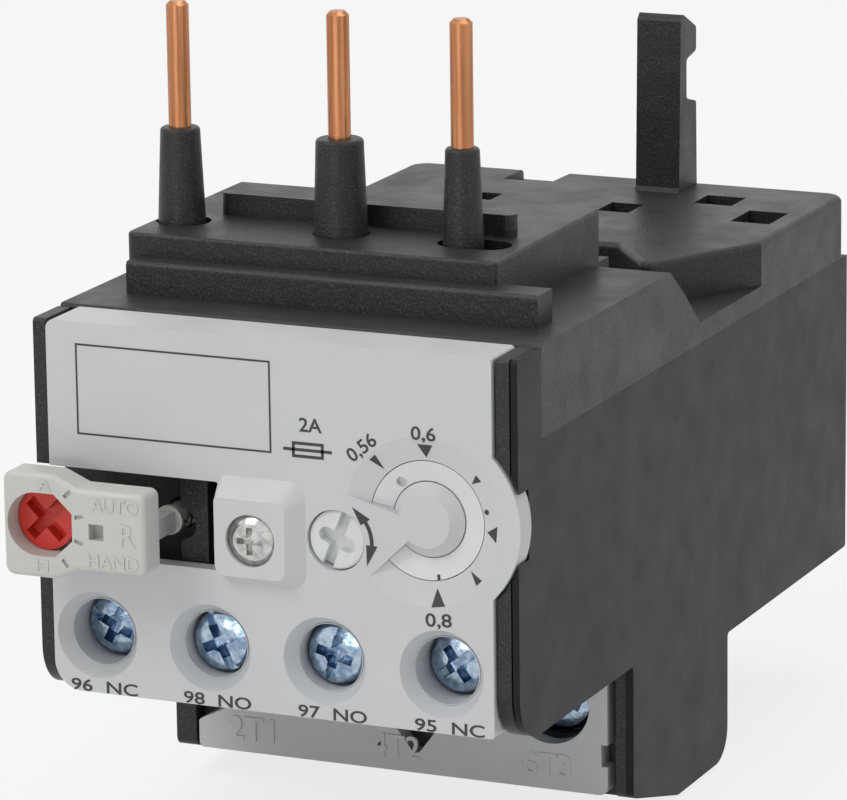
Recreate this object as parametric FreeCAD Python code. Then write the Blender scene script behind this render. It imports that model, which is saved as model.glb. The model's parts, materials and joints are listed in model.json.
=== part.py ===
import FreeCAD, Part
import math
import os

# Thermal overload relay. Millimetres. The origin is the centre of the rear face,
# +Y points out of the rear, the front looks along -Y and +Z is up.

V = FreeCAD.Vector

# ---- Body -------------------------------------------------------------------
WIDTH = 45.0
BODY_DEPTH = 81.6
REAR_WALL = 2.0
BODY_HEIGHT = 34.9
WALL = 1.5
SIDE_COVER_THICKNESS = 0.75
FRONT_SETBACK = 0.35
FRONT_LIFT = 3.3
FRONT_CORNER_RADIUS = 4.2
FRONT_BODY_DEPTH = 26.0
TERMINAL_REAR_DEPTH = 49.4
TERMINAL_DROP = 11.8
TERMINAL_SLOPE_DEPTH = 10.8
TERMINAL_SLOPE_RISE = 2.9
TERMINAL_CORNER_RADIUS = 3.0
SEAM_DROP = 6.0
EDGE_RADIUS = 0.4
FRAME_DEPTH = 5.5

# ---- Top housing --------------------------------------------------------------
LEDGE_STEP = 2.0
NOTCH_DROP = 4.1
LEDGE_REAR_DEPTH = 35.1
LEDGE_MIDDLE_REAR_DEPTH = 39.2
LEDGE_MIDDLE_HALF = 15.0
LEDGE_SLOPE_END_DEPTH = 42.4
LEDGE_SLOPE_MIDDLE_DEPTH = 38.5
LEDGE_SLOPE_MIDDLE_DROP = 2.6
ROOF = 1.8
REAR_SIDE_DEPTH = 58.1
REAR_PROW_DEPTH = 45.9
REAR_PROW_X = 15.7
REAR_BAY_DEPTH = 53.1
REAR_BAY_HALF = 10.2
PROW_RADIUS = 1.0
REAR_CORNER_RADIUS = 2.0
REAR_TOP_RADIUS = 0.6

# ---- Front cover --------------------------------------------------------------
COVER_LEFT = 21.1
COVER_RIGHT = 20.3
COVER_SIDE_GAP = 0.25
COVER_TOP_DROP = 0.1
COVER_BOTTOM_LIFT = 0.6
COVER_PLATE = 1.5
COVER_CAP_DEPTH = 5.2
COVER_FLANGE = 1.1
COVER_CORNER_RADIUS = 2.6

# ---- Button window ------------------------------------------------------------
WINDOW_TOP_Z = 6.45
WINDOW_BOTTOM_Z = -1.35
WINDOW_STEP_X = -16.5
WINDOW_STEP_Z = -2.25
WINDOW_RIGHT_X = -4.95
RECESS_DEPTH = 5.5
RAISED_PANEL_DEPTH = 2.0
RAISED_PANEL_LEFT_X = -9.6
RAISED_PANEL_RIGHT_X = -7.0
STEM_NOTCH_RADIUS = 1.43

# ---- Reset button ---------------------------------------------------------------
BUTTON_PROUD = 6.0
BUTTON_THICKNESS = 2.8
BUTTON_LEFT_X = -22.55
BUTTON_RIGHT_X = -9.1
BUTTON_WIDE_TOP_Z = 7.3
BUTTON_WIDE_BOTTOM_Z = -1.9
BUTTON_NARROW_TOP_Z = 6.3
BUTTON_NARROW_BOTTOM_Z = -0.9
BUTTON_WIDE_END_X = -17.8
BUTTON_NARROW_START_X = -15.5
BUTTON_BOSS_REACH = 1.8
BUTTON_BOSS_RADIUS = 3.1
STEM_X = -11.15
STEM_Z = 1.8
STEM_WIDTH = 1.3
STEM_HEIGHT = 1.75
STEM_END_DEPTH = 3.1
STEM_COLLAR_RADIUS = 1.3
STEM_COLLAR_THICKNESS = 0.4
ROD_RADIUS = 0.8
ROD_CLEARANCE = 0.06
ROD_END_DEPTH = 13.8
SPRING_RADIUS = 1.25
SPRING_WIRE = 0.18
SPRING_TURNS = 5
SPRING_BORE_RADIUS = 1.42
SPRING_SEAT_DEPTH = 11.0
GUIDE_RADIUS = 2.3
GUIDE_REAR_DEPTH = 13.0

# ---- Mode selector --------------------------------------------------------------
SELECTOR_X = -19.35
SELECTOR_Z = 2.85
SELECTOR_RADIUS = 2.7
SELECTOR_CLEARANCE = 0.08
SELECTOR_SINK = 1.9
SELECTOR_LENGTH = 2.2
SELECTOR_NOSE_REACH = 3.0
SELECTOR_NOSE_WIDTH = 1.0
SELECTOR_SLOT_REACH = 2.2
SELECTOR_SLOT_WIDTH = 1.1
SELECTOR_SLOT_DEPTH = 1.1
WELL_REACH = 3.4
WELL_SHOULDER = 1.7
WELL_TIP_HALF = 1.2
TICK_ANGLES = (44.0, 14.0, -17.0, -50.0)
TICK_INNER = 3.75
TICK_OUTER = 4.6
TICK_WIDTH = 0.35
TICK_DEPTH = 0.3
KEY_HOLE_X = -13.67
KEY_HOLE_Z = 2.65
KEY_HOLE_SIZE = 1.4
KEY_HOLE_DEPTH = 1.2
BUTTON_EDGE_RADIUS = 0.5

# ---- Dial and adjuster -----------------------------------------------------------
DIAL_X = 14.14
DIAL_Z = 4.76
DIAL_RADIUS = 5.15
DIAL_CLEARANCE = 0.08
DISH_RADIUS = 7.4
DISH_RING_DEPTH = 0.6
DISH_HUB_DEPTH = 1.1
HUB_RADIUS = 3.25
HUB_FLAT_RADIUS = 2.25
HUB_CLEARANCE = 0.1
TONGUE_LIFT = 0.12
DIMPLE_RADIUS = 0.45
DIMPLE_DEPTH = 0.5
DIMPLE_REACH = 3.95
DIMPLE_ANGLE = 129.0
INDEX_ANGLE = -79.0
INDEX_WIDTH = 0.3
INDEX_LENGTH = 0.45
BULGE_RADIUS = 8.68
BULGE_DEPTH = 2.35
BULGE_CLEARANCE = 0.22
ADJUSTER_X = 5.91
ADJUSTER_Z = 2.36
ADJUSTER_RADIUS = 2.6
ADJUSTER_RECESS = 0.3
ADJUSTER_CHAMFER = 0.25
ADJUSTER_SLOT_ANGLE = 68.0
ADJUSTER_SLOT_WIDTH = 1.0
ADJUSTER_SLOT_DEPTH = 1.0
ADJUSTER_ARM_REACH = 1.75
ADJUSTER_ARM_WIDTH = 1.3
GEAR_FRONT_DEPTH = 1.65
GEAR_THICKNESS = 1.5
DIAL_TEETH = 24
ADJUSTER_TEETH = 12
AXLE_RADIUS = 1.2
AXLE_DEPTH = 9.0
CAM_THICKNESS = 1.3
CAM_RADIUS = 2.4
CAM_RISE = 1.2

# ---- Screw boss -------------------------------------------------------------------
BOSS_LEFT_X = -4.95
BOSS_RIGHT_X = 3.25
BOSS_TOP_Z = 7.25
BOSS_BOTTOM_Z = -2.35
BOSS_HEIGHT = 1.3
BOSS_SIDE_FLANK = 1.5
BOSS_TOP_FLANK = 1.8
BOSS_BOTTOM_FLANK = 1.0
COVER_SCREW_X = -1.5
COVER_SCREW_Z = 1.9
COVER_SCREW_HEAD_RADIUS = 2.2
COVER_SCREW_SHANK_RADIUS = 1.1
COVER_SCREW_LENGTH = 12.0
SCREW_FIT = 0.1

# ---- Control terminals --------------------------------------------------------------
AUX_PITCH = 10.8
AUX_FIRST_X = -16.9
AUX_COUNT = 4
AUX_Z = -8.35
AUX_COLLAR_RADIUS = 3.85
AUX_BORE_RADIUS = 3.05
AUX_HEAD_RADIUS = 2.75
AUX_HEAD_LENGTH = 2.4
AUX_SHANK_RADIUS = 1.45
AUX_SCREW_LENGTH = 14.0
AUX_HEAD_DEPTHS = (3.3, 1.9, 1.9, 3.3)
AUX_POCKET_HALF = 4.3
AUX_POCKET_DEPTH = 14.6
AUX_POCKET_TOP_Z = -4.6
AUX_BLOCK_TOP_Z = -3.4
AUX_CLAMP_BEHIND_HEAD = 3.75
AUX_CLAMP_THICKNESS = 0.9
AUX_CLAMP_WIDTH = 6.4
AUX_CLAMP_HEIGHT = 6.8
AUX_PLATE_DEPTH = 12.4
AUX_PLATE_THICKNESS = 0.9
RISER_HALF = 1.5
WIRE_ENTRY_HALF = 2.3
WIRE_ENTRY_DEPTH = 8.1

# ---- Main terminals -------------------------------------------------------------------
PHASE_PITCH = 14.5
MAIN_Z = -18.35
MAIN_BORE_RADIUS = 3.8
MAIN_HEAD_RADIUS = 3.4
MAIN_HEAD_DEPTH = 28.4
MAIN_HEAD_LENGTH = 2.6
MAIN_SHANK_RADIUS = 1.9
MAIN_SCREW_LENGTH = 14.6
MAIN_POCKET_HALF = 5.6
MAIN_POCKET_REAR_DEPTH = 46.0
MAIN_CLAMP_THICKNESS = 1.2
MAIN_CLAMP_WIDTH = 9.0
MAIN_CLAMP_HEIGHT = 8.0
MAIN_PLATE_DEPTH = 41.2
MAIN_PLATE_THICKNESS = 1.2
MAIN_ENTRY_HALF = 4.3
MAIN_ENTRY_FRONT_DEPTH = 32.6
TERMINAL_COVER_PLATE = 1.75
TERMINAL_COVER_LEFT = 20.2
TERMINAL_COVER_RIGHT = 20.0
TERMINAL_WALL_LEFT = 20.5
TERMINAL_WALL_RIGHT = 20.8

# ---- Phase chambers ---------------------------------------------------------------------
CHAMBER_WIDTH = 13.0
CHAMBER_FRONT_DEPTH = 33.0
CHAMBER_REAR_DEPTH = BODY_DEPTH - REAR_WALL
CHANNEL_FRONT_DEPTH = 27.3
CHAMBER_FLOOR_Z = -12.9
MECHANISM_FRONT_DEPTH = 7.0
MECHANISM_REAR_DEPTH = 26.0
STRIP_THICKNESS = 0.8
STRIP_HEIGHT = 6.0
STRIP_Z = -1.0
STRIP_FRONT_DEPTH = 29.0
POST_BEHIND_STRIP = 2.5
POST_CLEARANCE = 1.1
STRIP_REAR_DEPTH = CHAMBER_REAR_DEPTH - POST_CLEARANCE - POST_BEHIND_STRIP
HEATER_WIRE = 0.9
HEATER_PITCH = 2.2
HEATER_TURNS = 11
HEATER_TAIL = 9.1
HEATER_FRONT_DEPTH = STRIP_REAR_DEPTH - HEATER_TAIL - (HEATER_TURNS - 1) * HEATER_PITCH - HEATER_WIRE
HEATER_GAP = 0.5
COPPER = 0.8
LEG_DEPTH = 33.6
FEED_WIDTH = 3.6
POST_WIDTH = 4.0

# ---- Slides and levers ----------------------------------------------------------------------
SLIDE_DEPTH = 28.7
SLIDE_WIDTH = 2.4
SLIDE_HEIGHT = 2.3
SLIDE_GAP = 0.35
SLIDE_LENGTH = 39.4
FINGER = 1.1
FINGER_GAP = 0.3
LAG_TRAVEL = 1.4
LEVER_X = -17.6
LEVER_THICKNESS = 1.0
LEVER_WIDTH = 1.5
LEVER_REACH = 5.0
PIVOT_RADIUS = 0.5
PIVOT_CLEARANCE = 0.05
TRIP_PIVOT_X = -18.5
TRIP_PIVOT_DEPTH = 19.5
TRIP_PIVOT_RADIUS = 0.7
TRIP_HUB_RADIUS = 1.6
TRIP_LEVER_Z = 6.6
TRIP_LEVER_HEIGHT = 2.4
TRIP_STRIP = 0.9
TRIP_TAB_GAP = 0.9
TRIP_END_X = -3.9
TRIP_END_DEPTH = 22.3

# ---- Contacts -------------------------------------------------------------------------------
CARRIER_BLOCK_LEFT_X = -3.5
CARRIER_BLOCK_RIGHT_X = 2.2
CARRIER_BLOCK_FRONT_DEPTH = 10.6
CARRIER_BLOCK_REAR_DEPTH = 19.6
CARRIER_BLOCK_BOTTOM_Z = 4.3
RESET_ARM_THICKNESS = 2.0
CONTACT_TRAVEL = 1.5
BRIDGE_THICKNESS = 0.7
BRIDGE_HEIGHT = 2.4
BRIDGE_OVERHANG = 1.1
OPENING_BRIDGE_Z = 10.2
CLOSING_BRIDGE_Z = 5.0

# ---- Pin carrier, boots and pins ---------------------------------------------------------------
CARRIER_LEFT_X = -20.3
CARRIER_RIGHT_X = 15.0
CARRIER_FRONT_DEPTH = 13.75
CARRIER_REAR_DEPTH = 37.2
CARRIER_HEIGHT = 4.75
BAR_LEFT_X = -18.9
BAR_RIGHT_X = 19.9
BAR_FRONT_DEPTH = 11.1
BAR_HEIGHT = 2.8
RIB_LEFT_X = -15.7
RIB_RIGHT_X = 12.5
RIB_SETBACK = 1.0
RIB_THICKNESS = 1.6
RIB_HEIGHT = 1.95
PIN_DEPTH = 19.9
PIN_XS = (-17.7, -2.3, 9.3)
PIN_RADIUS = 1.0
PIN_CORE_RADIUS = 0.75
PIN_TIP_CHAMFER = 0.35
PIN_HEIGHT = 24.4
BOOT_HEIGHT = 8.45
BOOT_BASE_RADII = (2.12, 2.38, 1.8)
BOOT_TOP_RADII = (1.75, 2.1, 1.5)
BOOT_FLANGE = 0.9
BOOT_RIM_RADIUS = 0.35
SLOT_CLEARANCE = 0.12
FOOT_HALF = 1.5
FOOT_GAP = 0.05
SLOT_LEFT = (0.18, 0.0, 0.5)
SLOT_RIGHT = (0.38, 0.0, 2.5)

# ---- Latch hook --------------------------------------------------------------------------------
HOOK_LEFT_X = 2.9
HOOK_RIGHT_X = 7.35
HOOK_FRONT_DEPTH = 76.3
HOOK_HEIGHT = 17.1

# ---- Derived levels ----------------------------------------------------------------------------
HALF = WIDTH / 2
FRONT_Y = -BODY_DEPTH
TOP_Z = BODY_HEIGHT / 2
BOTTOM_Z = -BODY_HEIGHT / 2
FRONT_BOTTOM_Z = BOTTOM_Z + FRONT_LIFT
TERMINAL_BOTTOM_Z = BOTTOM_Z - TERMINAL_DROP
SEAM_Z = TOP_Z - SEAM_DROP
LEDGE_Z = TOP_Z + LEDGE_STEP
NOTCH_Z = TOP_Z - NOTCH_DROP
PLATFORM_Z = LEDGE_Z + CARRIER_HEIGHT
COVER_TOP_Z = LEDGE_Z - COVER_TOP_DROP
COVER_BOTTOM_Z = FRONT_BOTTOM_Z + COVER_BOTTOM_LIFT
BASE_RIGHT = HALF - SIDE_COVER_THICKNESS
AUX_XS = [AUX_FIRST_X + i * AUX_PITCH for i in range(AUX_COUNT)]
PHASE_XS = [(i - 1) * PHASE_PITCH for i in range(3)]
RIB_FRONT_DEPTH = PIN_DEPTH + max(BOOT_BASE_RADII) + SLOT_CLEARANCE + RIB_SETBACK
GEAR_DISTANCE = math.hypot(DIAL_X - ADJUSTER_X, DIAL_Z - ADJUSTER_Z)
MODULE = 2 * GEAR_DISTANCE / (DIAL_TEETH + ADJUSTER_TEETH)


# ---- Helpers ---------------------------------------------------------------------------------------

def at(depth):
    """Y of a plane that lies this far behind the front face."""
    return FRONT_Y + depth


def box(x0, x1, d0, d1, z0, z1):
    """Block between two X, two depths behind the front face and two Z."""
    return Part.makeBox(x1 - x0, d1 - d0, z1 - z0, V(x0, at(d0), z0))


def rod_y(x, z, radius, d0, d1):
    return Part.makeCylinder(radius, d1 - d0, V(x, at(d0), z), V(0, 1, 0))


def rod_z(x, depth, radius, z0, z1):
    return Part.makeCylinder(radius, z1 - z0, V(x, at(depth), z0), V(0, 0, 1))


def cone_y(x, z, r0, r1, d0, d1):
    return Part.makeCone(r0, r1, d1 - d0, V(x, at(d0), z), V(0, 1, 0))


def outline(points, place):
    """Closed wire through corners (u, v) or (u, v, radius), rounded by tangent arcs."""
    corners = []
    count = len(points)
    for i, point in enumerate(points):
        here = V(point[0], point[1], 0)
        radius = point[2] if len(point) > 2 else 0
        if radius == 0:
            corners.append((here, here, None))
            continue
        to_last = V(points[i - 1][0], points[i - 1][1], 0) - here
        to_next = V(points[(i + 1) % count][0], points[(i + 1) % count][1], 0) - here
        to_last.normalize()
        to_next.normalize()
        half = to_last.getAngle(to_next) / 2
        reach = radius / math.tan(half)
        inward = to_last + to_next
        inward.normalize()
        middle = here + inward * (radius / math.sin(half) - radius)
        corners.append((here + to_last * reach, here + to_next * reach, middle))
    edges = []
    for i, (start, end, middle) in enumerate(corners):
        if middle is not None:
            edges.append(Part.Arc(place(start), place(middle), place(end)).toShape())
        following = corners[(i + 1) % count][0]
        if (following - end).Length > 1e-6:
            edges.append(Part.LineSegment(place(end), place(following)).toShape())
    return Part.Wire(edges)


def prism_x(points, x0, x1):
    """Outline in (depth, z) drawn out from x0 to x1."""
    wire = outline(points, lambda p: V(x0, at(p.x), p.y))
    return Part.Face(wire).extrude(V(x1 - x0, 0, 0))


def prism_y(points, d0, d1):
    """Outline in (x, z) drawn out between two depths."""
    wire = outline(points, lambda p: V(p.x, at(d0), p.y))
    return Part.Face(wire).extrude(V(0, d1 - d0, 0))


def prism_z(points, z0, z1):
    """Outline in (x, depth) drawn out between two Z."""
    wire = outline(points, lambda p: V(p.x, at(p.y), z0))
    return Part.Face(wire).extrude(V(0, 0, z1 - z0))


def revolve_y(profile, x, z):
    """Profile of (radius, depth) turned about an axis along Y."""
    wire = Part.makePolygon([V(x + r, at(d), z) for r, d in profile + profile[:1]])
    return Part.Face(wire).revolve(V(x, 0, z), V(0, 1, 0), 360)


def revolve_z(points, x, depth):
    """Rounded profile of (radius, z) turned about an axis along Z."""
    wire = outline(points, lambda p: V(x + p.x, at(depth), p.y))
    return Part.Face(wire).revolve(V(x, at(depth), 0), V(0, 0, 1), 360)


def fuse(shapes):
    result = shapes[0].fuse(shapes[1:]) if len(shapes) > 1 else shapes[0]
    return result.removeSplitter()


def save(name, shape):
    solids = shape.Solids
    result = solids[0] if len(solids) == 1 else Part.makeCompound(solids)
    print(name, len(solids), result.isValid(), round(result.Volume, 2))
    result.exportStep("parts/" + name + ".step")


# ---- Housings ------------------------------------------------------------------------------------------

def side_profile():
    """Side outline of the whole body in (depth, z), below the top housing."""
    slope = FRONT_BODY_DEPTH + TERMINAL_SLOPE_DEPTH
    return [
        (FRONT_SETBACK, COVER_TOP_Z - COVER_TOP_DROP, EDGE_RADIUS),
        (FRONT_SETBACK, FRONT_BOTTOM_Z, FRONT_CORNER_RADIUS),
        (FRONT_BODY_DEPTH, FRONT_BOTTOM_Z, EDGE_RADIUS),
        (FRONT_BODY_DEPTH, TERMINAL_BOTTOM_Z + TERMINAL_SLOPE_RISE, 1.0),
        (slope, TERMINAL_BOTTOM_Z, TERMINAL_CORNER_RADIUS),
        (TERMINAL_REAR_DEPTH, TERMINAL_BOTTOM_Z, TERMINAL_CORNER_RADIUS),
        (TERMINAL_REAR_DEPTH, BOTTOM_Z, EDGE_RADIUS),
        (BODY_DEPTH, BOTTOM_Z, EDGE_RADIUS),
        (BODY_DEPTH, SEAM_Z),
        (FRAME_DEPTH, SEAM_Z),
        (FRAME_DEPTH, COVER_TOP_Z - COVER_TOP_DROP, EDGE_RADIUS),
    ]


def button_gap(x0, x1, d0, d1):
    """Room for the button where the left wall is notched."""
    return box(x0, x1, d0, d1, WINDOW_STEP_Z, WINDOW_TOP_Z)


def front_recess():
    """Space inside the front frame that the cover closes."""
    left = -COVER_LEFT - COVER_SIDE_GAP + 0.05
    right = COVER_RIGHT + COVER_SIDE_GAP
    return box(left, right, 0, FRAME_DEPTH, FRONT_BOTTOM_Z, COVER_TOP_Z)


def bulge_cut():
    return rod_y(DIAL_X, DIAL_Z, BULGE_RADIUS + BULGE_CLEARANCE, 0, BULGE_DEPTH + BULGE_CLEARANCE)


def chamber(x):
    half = CHAMBER_WIDTH / 2
    return box(x - half, x + half, CHAMBER_FRONT_DEPTH - 1, CHAMBER_REAR_DEPTH, CHAMBER_FLOOR_Z, SEAM_Z)


def raised_panel():
    """Panel beside the stem, with a half-round notch in its left edge."""
    panel = box(RAISED_PANEL_LEFT_X, RAISED_PANEL_RIGHT_X, RAISED_PANEL_DEPTH, RECESS_DEPTH,
                WINDOW_BOTTOM_Z - WALL, WINDOW_TOP_Z + WALL)
    return panel.cut(rod_y(RAISED_PANEL_LEFT_X, STEM_Z, STEM_NOTCH_RADIUS, RAISED_PANEL_DEPTH, RECESS_DEPTH))


def base_housing():
    body = prism_x(side_profile(), -HALF, BASE_RIGHT)
    body = body.cut(box(-HALF, BASE_RIGHT, 0, TERMINAL_REAR_DEPTH, TERMINAL_BOTTOM_Z, FRONT_BOTTOM_Z))
    inner = HALF - WALL
    cuts = [chamber(x) for x in PHASE_XS]
    cuts.append(box(-inner, inner, CHANNEL_FRONT_DEPTH, CHAMBER_FRONT_DEPTH, CHAMBER_FLOOR_Z, SEAM_Z))
    cuts.append(box(-inner, inner, MECHANISM_FRONT_DEPTH, MECHANISM_REAR_DEPTH, AUX_BLOCK_TOP_Z, SEAM_Z))
    cuts.append(front_recess())
    cuts.append(button_gap(-HALF, -HALF + WALL, 0, RECESS_DEPTH))
    cuts.append(bulge_cut())
    cuts.append(box(-HALF + WALL, BASE_RIGHT - WALL, FRAME_DEPTH, FRONT_BODY_DEPTH,
                    FRONT_BOTTOM_Z, AUX_BLOCK_TOP_Z))
    cuts.append(box(LEVER_X - 1.6, LEVER_X + 5.0, MECHANISM_REAR_DEPTH, CHANNEL_FRONT_DEPTH,
                    TRIP_LEVER_Z - 1, SEAM_Z))
    body = body.cut(cuts)
    post = rod_y(COVER_SCREW_X, COVER_SCREW_Z, 2 * COVER_SCREW_SHANK_RADIUS, COVER_PLATE, MECHANISM_REAR_DEPTH)
    axle = rod_y(DIAL_X, DIAL_Z, AXLE_RADIUS, GEAR_FRONT_DEPTH, FRAME_DEPTH)
    guide = rod_y(STEM_X, STEM_Z, GUIDE_RADIUS, RECESS_DEPTH, GUIDE_REAR_DEPTH)
    pivot = rod_z(TRIP_PIVOT_X, TRIP_PIVOT_DEPTH, 2 * TRIP_PIVOT_RADIUS, AUX_BLOCK_TOP_Z, TRIP_LEVER_Z - 0.1)
    pin = rod_z(TRIP_PIVOT_X, TRIP_PIVOT_DEPTH, TRIP_PIVOT_RADIUS, AUX_BLOCK_TOP_Z, SEAM_Z)
    shelf = box(-HALF, BASE_RIGHT, FRAME_DEPTH, MECHANISM_REAR_DEPTH, AUX_BLOCK_TOP_Z, AUX_BLOCK_TOP_Z + 0.8)
    shelf = shelf.cut([riser_slot(x) for x in AUX_XS])
    body = fuse([body, shelf, raised_panel(), post, axle, guide, pivot, pin])
    body = body.cut(rod_y(COVER_SCREW_X, COVER_SCREW_Z, COVER_SCREW_SHANK_RADIUS + SCREW_FIT,
                          COVER_PLATE, COVER_SCREW_LENGTH + 1))
    body = body.cut(rod_y(STEM_X, STEM_Z, ROD_RADIUS + ROD_CLEARANCE, RECESS_DEPTH, GUIDE_REAR_DEPTH))
    body = body.cut(rod_y(STEM_X, STEM_Z, SPRING_BORE_RADIUS, RECESS_DEPTH, SPRING_SEAT_DEPTH))
    body = body.cut(rod_y(ADJUSTER_X, ADJUSTER_Z, AXLE_RADIUS + PIVOT_CLEARANCE, FRAME_DEPTH, MECHANISM_FRONT_DEPTH))
    for x in PHASE_XS:
        body = body.cut(load_slot(x))
    return body


def riser_slot(x):
    """Slot over a control terminal for the riser of its contact plate."""
    return box(x - RISER_HALF - 0.1, x + RISER_HALF + 0.1, AUX_PLATE_DEPTH, AUX_PLATE_DEPTH + AUX_PLATE_THICKNESS,
               AUX_POCKET_TOP_Z, AUX_BLOCK_TOP_Z + 0.8)


def load_slot(x):
    """Slot in the chamber floor for the load bar."""
    half = POST_WIDTH / 2 + SCREW_FIT
    d0 = MAIN_PLATE_DEPTH - SCREW_FIT
    d1 = MAIN_PLATE_DEPTH + MAIN_PLATE_THICKNESS + SCREW_FIT
    return box(x - half, x + half, d0, d1, FRONT_BOTTOM_Z, CHAMBER_FLOOR_Z)


def side_cover():
    plate = prism_x(side_profile(), BASE_RIGHT, HALF)
    groove = box(BASE_RIGHT, BASE_RIGHT + 0.15, 0, FRONT_SETBACK + 0.6, FRONT_BOTTOM_Z, COVER_TOP_Z)
    return plate.cut([bulge_cut(), groove])


def ledge_profile():
    """Outline in (depth, z) of the ledge with its sloping rear end."""
    return [
        (FRAME_DEPTH, SEAM_Z),
        (FRAME_DEPTH, LEDGE_Z, EDGE_RADIUS),
        (LEDGE_REAR_DEPTH, LEDGE_Z, EDGE_RADIUS),
        (LEDGE_SLOPE_MIDDLE_DEPTH, LEDGE_Z - LEDGE_SLOPE_MIDDLE_DROP),
        (LEDGE_SLOPE_END_DEPTH, NOTCH_Z),
        (LEDGE_SLOPE_END_DEPTH, SEAM_Z),
    ]


def rear_plan():
    """Plan of the rear block in (x, depth): a prow each side of a bay."""
    right = [
        (REAR_BAY_HALF, REAR_BAY_DEPTH),
        (REAR_PROW_X, REAR_PROW_DEPTH, PROW_RADIUS),
        (HALF, REAR_SIDE_DEPTH),
        (HALF, BODY_DEPTH, REAR_CORNER_RADIUS),
    ]
    left = [(-p[0],) + p[1:] for p in reversed(right)]
    return right + left


def top_housing():
    ledge = prism_x(ledge_profile(), -HALF, HALF)
    middle = box(-LEDGE_MIDDLE_HALF, LEDGE_MIDDLE_HALF, LEDGE_REAR_DEPTH - 1, LEDGE_MIDDLE_REAR_DEPTH,
                 SEAM_Z, LEDGE_Z)
    floor = box(-HALF, HALF, LEDGE_SLOPE_END_DEPTH - 1, BODY_DEPTH - REAR_CORNER_RADIUS, SEAM_Z, NOTCH_Z)
    rear = prism_z(rear_plan(), SEAM_Z, TOP_Z)
    edges = [e for e in rear.Edges if abs(e.BoundBox.ZMin - TOP_Z) < 1e-4 and e.BoundBox.ZLength < 1e-4]
    rear = rear.makeFillet(REAR_TOP_RADIUS, edges)
    shell = fuse([ledge, middle, floor, rear])
    shell = shell.cut([top_hollow(), rear_hollow()] + rear_pockets())
    for x in PHASE_XS:
        shell = shell.cut(leg_slot(x))
    return shell


def top_hollow():
    """Underside hollow of the ledge over the mechanism."""
    inner = HALF - WALL
    return box(-inner, inner, MECHANISM_FRONT_DEPTH, LEDGE_REAR_DEPTH - 2.5, SEAM_Z, LEDGE_Z - ROOF)


def rear_hollow():
    inner = HALF - WALL
    return box(-inner, inner, REAR_SIDE_DEPTH, CHAMBER_REAR_DEPTH - 1, SEAM_Z, TOP_Z - 2 * ROOF)


def leg_slot(x):
    half = FEED_WIDTH / 2 + SCREW_FIT
    x = leg_x(x)
    return box(x - half, x + half, LEG_DEPTH - SCREW_FIT, LEG_DEPTH + COPPER + SCREW_FIT, SEAM_Z, LEDGE_Z)


def rear_pockets():
    """Core pockets in the top of the rear block and the groove at its rear edge."""
    depth = 1.0
    pockets = [
        box(-10.3, -8.3, 66.9, 70.0, TOP_Z - ROOF, TOP_Z),
        box(3.0, 6.2, 66.0, 70.0, TOP_Z - ROOF, TOP_Z),
        box(10.3, 14.2, 72.3, 76.2, TOP_Z - ROOF, TOP_Z),
        box(16.5, 20.4, 65.8, 71.0, TOP_Z - ROOF, TOP_Z),
    ]
    groove = [(-11.0, TOP_Z - depth), (-7.9, TOP_Z - depth), (-5.9, TOP_Z), (-11.0, TOP_Z)]
    pockets.append(prism_y(groove, 76.6, BODY_DEPTH))
    return pockets


def latch_hook():
    """Hook that grips the contactor, drawn as its side outline."""
    top = TOP_Z + HOOK_HEIGHT
    rear = HOOK_FRONT_DEPTH + 4.55
    neck = HOOK_FRONT_DEPTH + 2.0
    outline_points = [
        (HOOK_FRONT_DEPTH - 0.4, TOP_Z),
        (HOOK_FRONT_DEPTH, TOP_Z + 0.4),
        (HOOK_FRONT_DEPTH + 0.5, top - 0.6, 0.3),
        (HOOK_FRONT_DEPTH + 1.1, top, 0.3),
        (rear, top - 1.7, 0.4),
        (rear, top - 4.0, 0.4),
        (neck, top - 4.5, 0.5),
        (neck, top - 8.3, 0.5),
        (rear, top - 8.95, 0.4),
        (rear + 0.15, TOP_Z),
    ]
    return prism_x(outline_points, HOOK_LEFT_X, HOOK_RIGHT_X)


# ---- Front cover and screw --------------------------------------------------------------------------------

def cover_plate():
    plate = prism_y([
        (-COVER_LEFT, COVER_BOTTOM_Z, COVER_CORNER_RADIUS),
        (COVER_RIGHT, COVER_BOTTOM_Z, EDGE_RADIUS),
        (COVER_RIGHT, COVER_TOP_Z, EDGE_RADIUS),
        (-COVER_LEFT, COVER_TOP_Z, 2 * EDGE_RADIUS),
    ], 0, COVER_CAP_DEPTH)
    hollow = box(-COVER_LEFT + COVER_FLANGE, COVER_RIGHT - COVER_FLANGE, COVER_PLATE, COVER_CAP_DEPTH,
                 COVER_BOTTOM_Z + COVER_FLANGE, COVER_TOP_Z - COVER_FLANGE)
    return plate.cut(hollow)


def window():
    """Opening for the button, stepped and open to the left."""
    return prism_y([
        (-HALF, WINDOW_TOP_Z),
        (-HALF, WINDOW_STEP_Z),
        (WINDOW_STEP_X, WINDOW_STEP_Z, EDGE_RADIUS),
        (WINDOW_STEP_X, WINDOW_BOTTOM_Z, EDGE_RADIUS),
        (WINDOW_RIGHT_X, WINDOW_BOTTOM_Z, EDGE_RADIUS),
        (WINDOW_RIGHT_X, WINDOW_TOP_Z, EDGE_RADIUS),
    ], 0, COVER_CAP_DEPTH)


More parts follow.
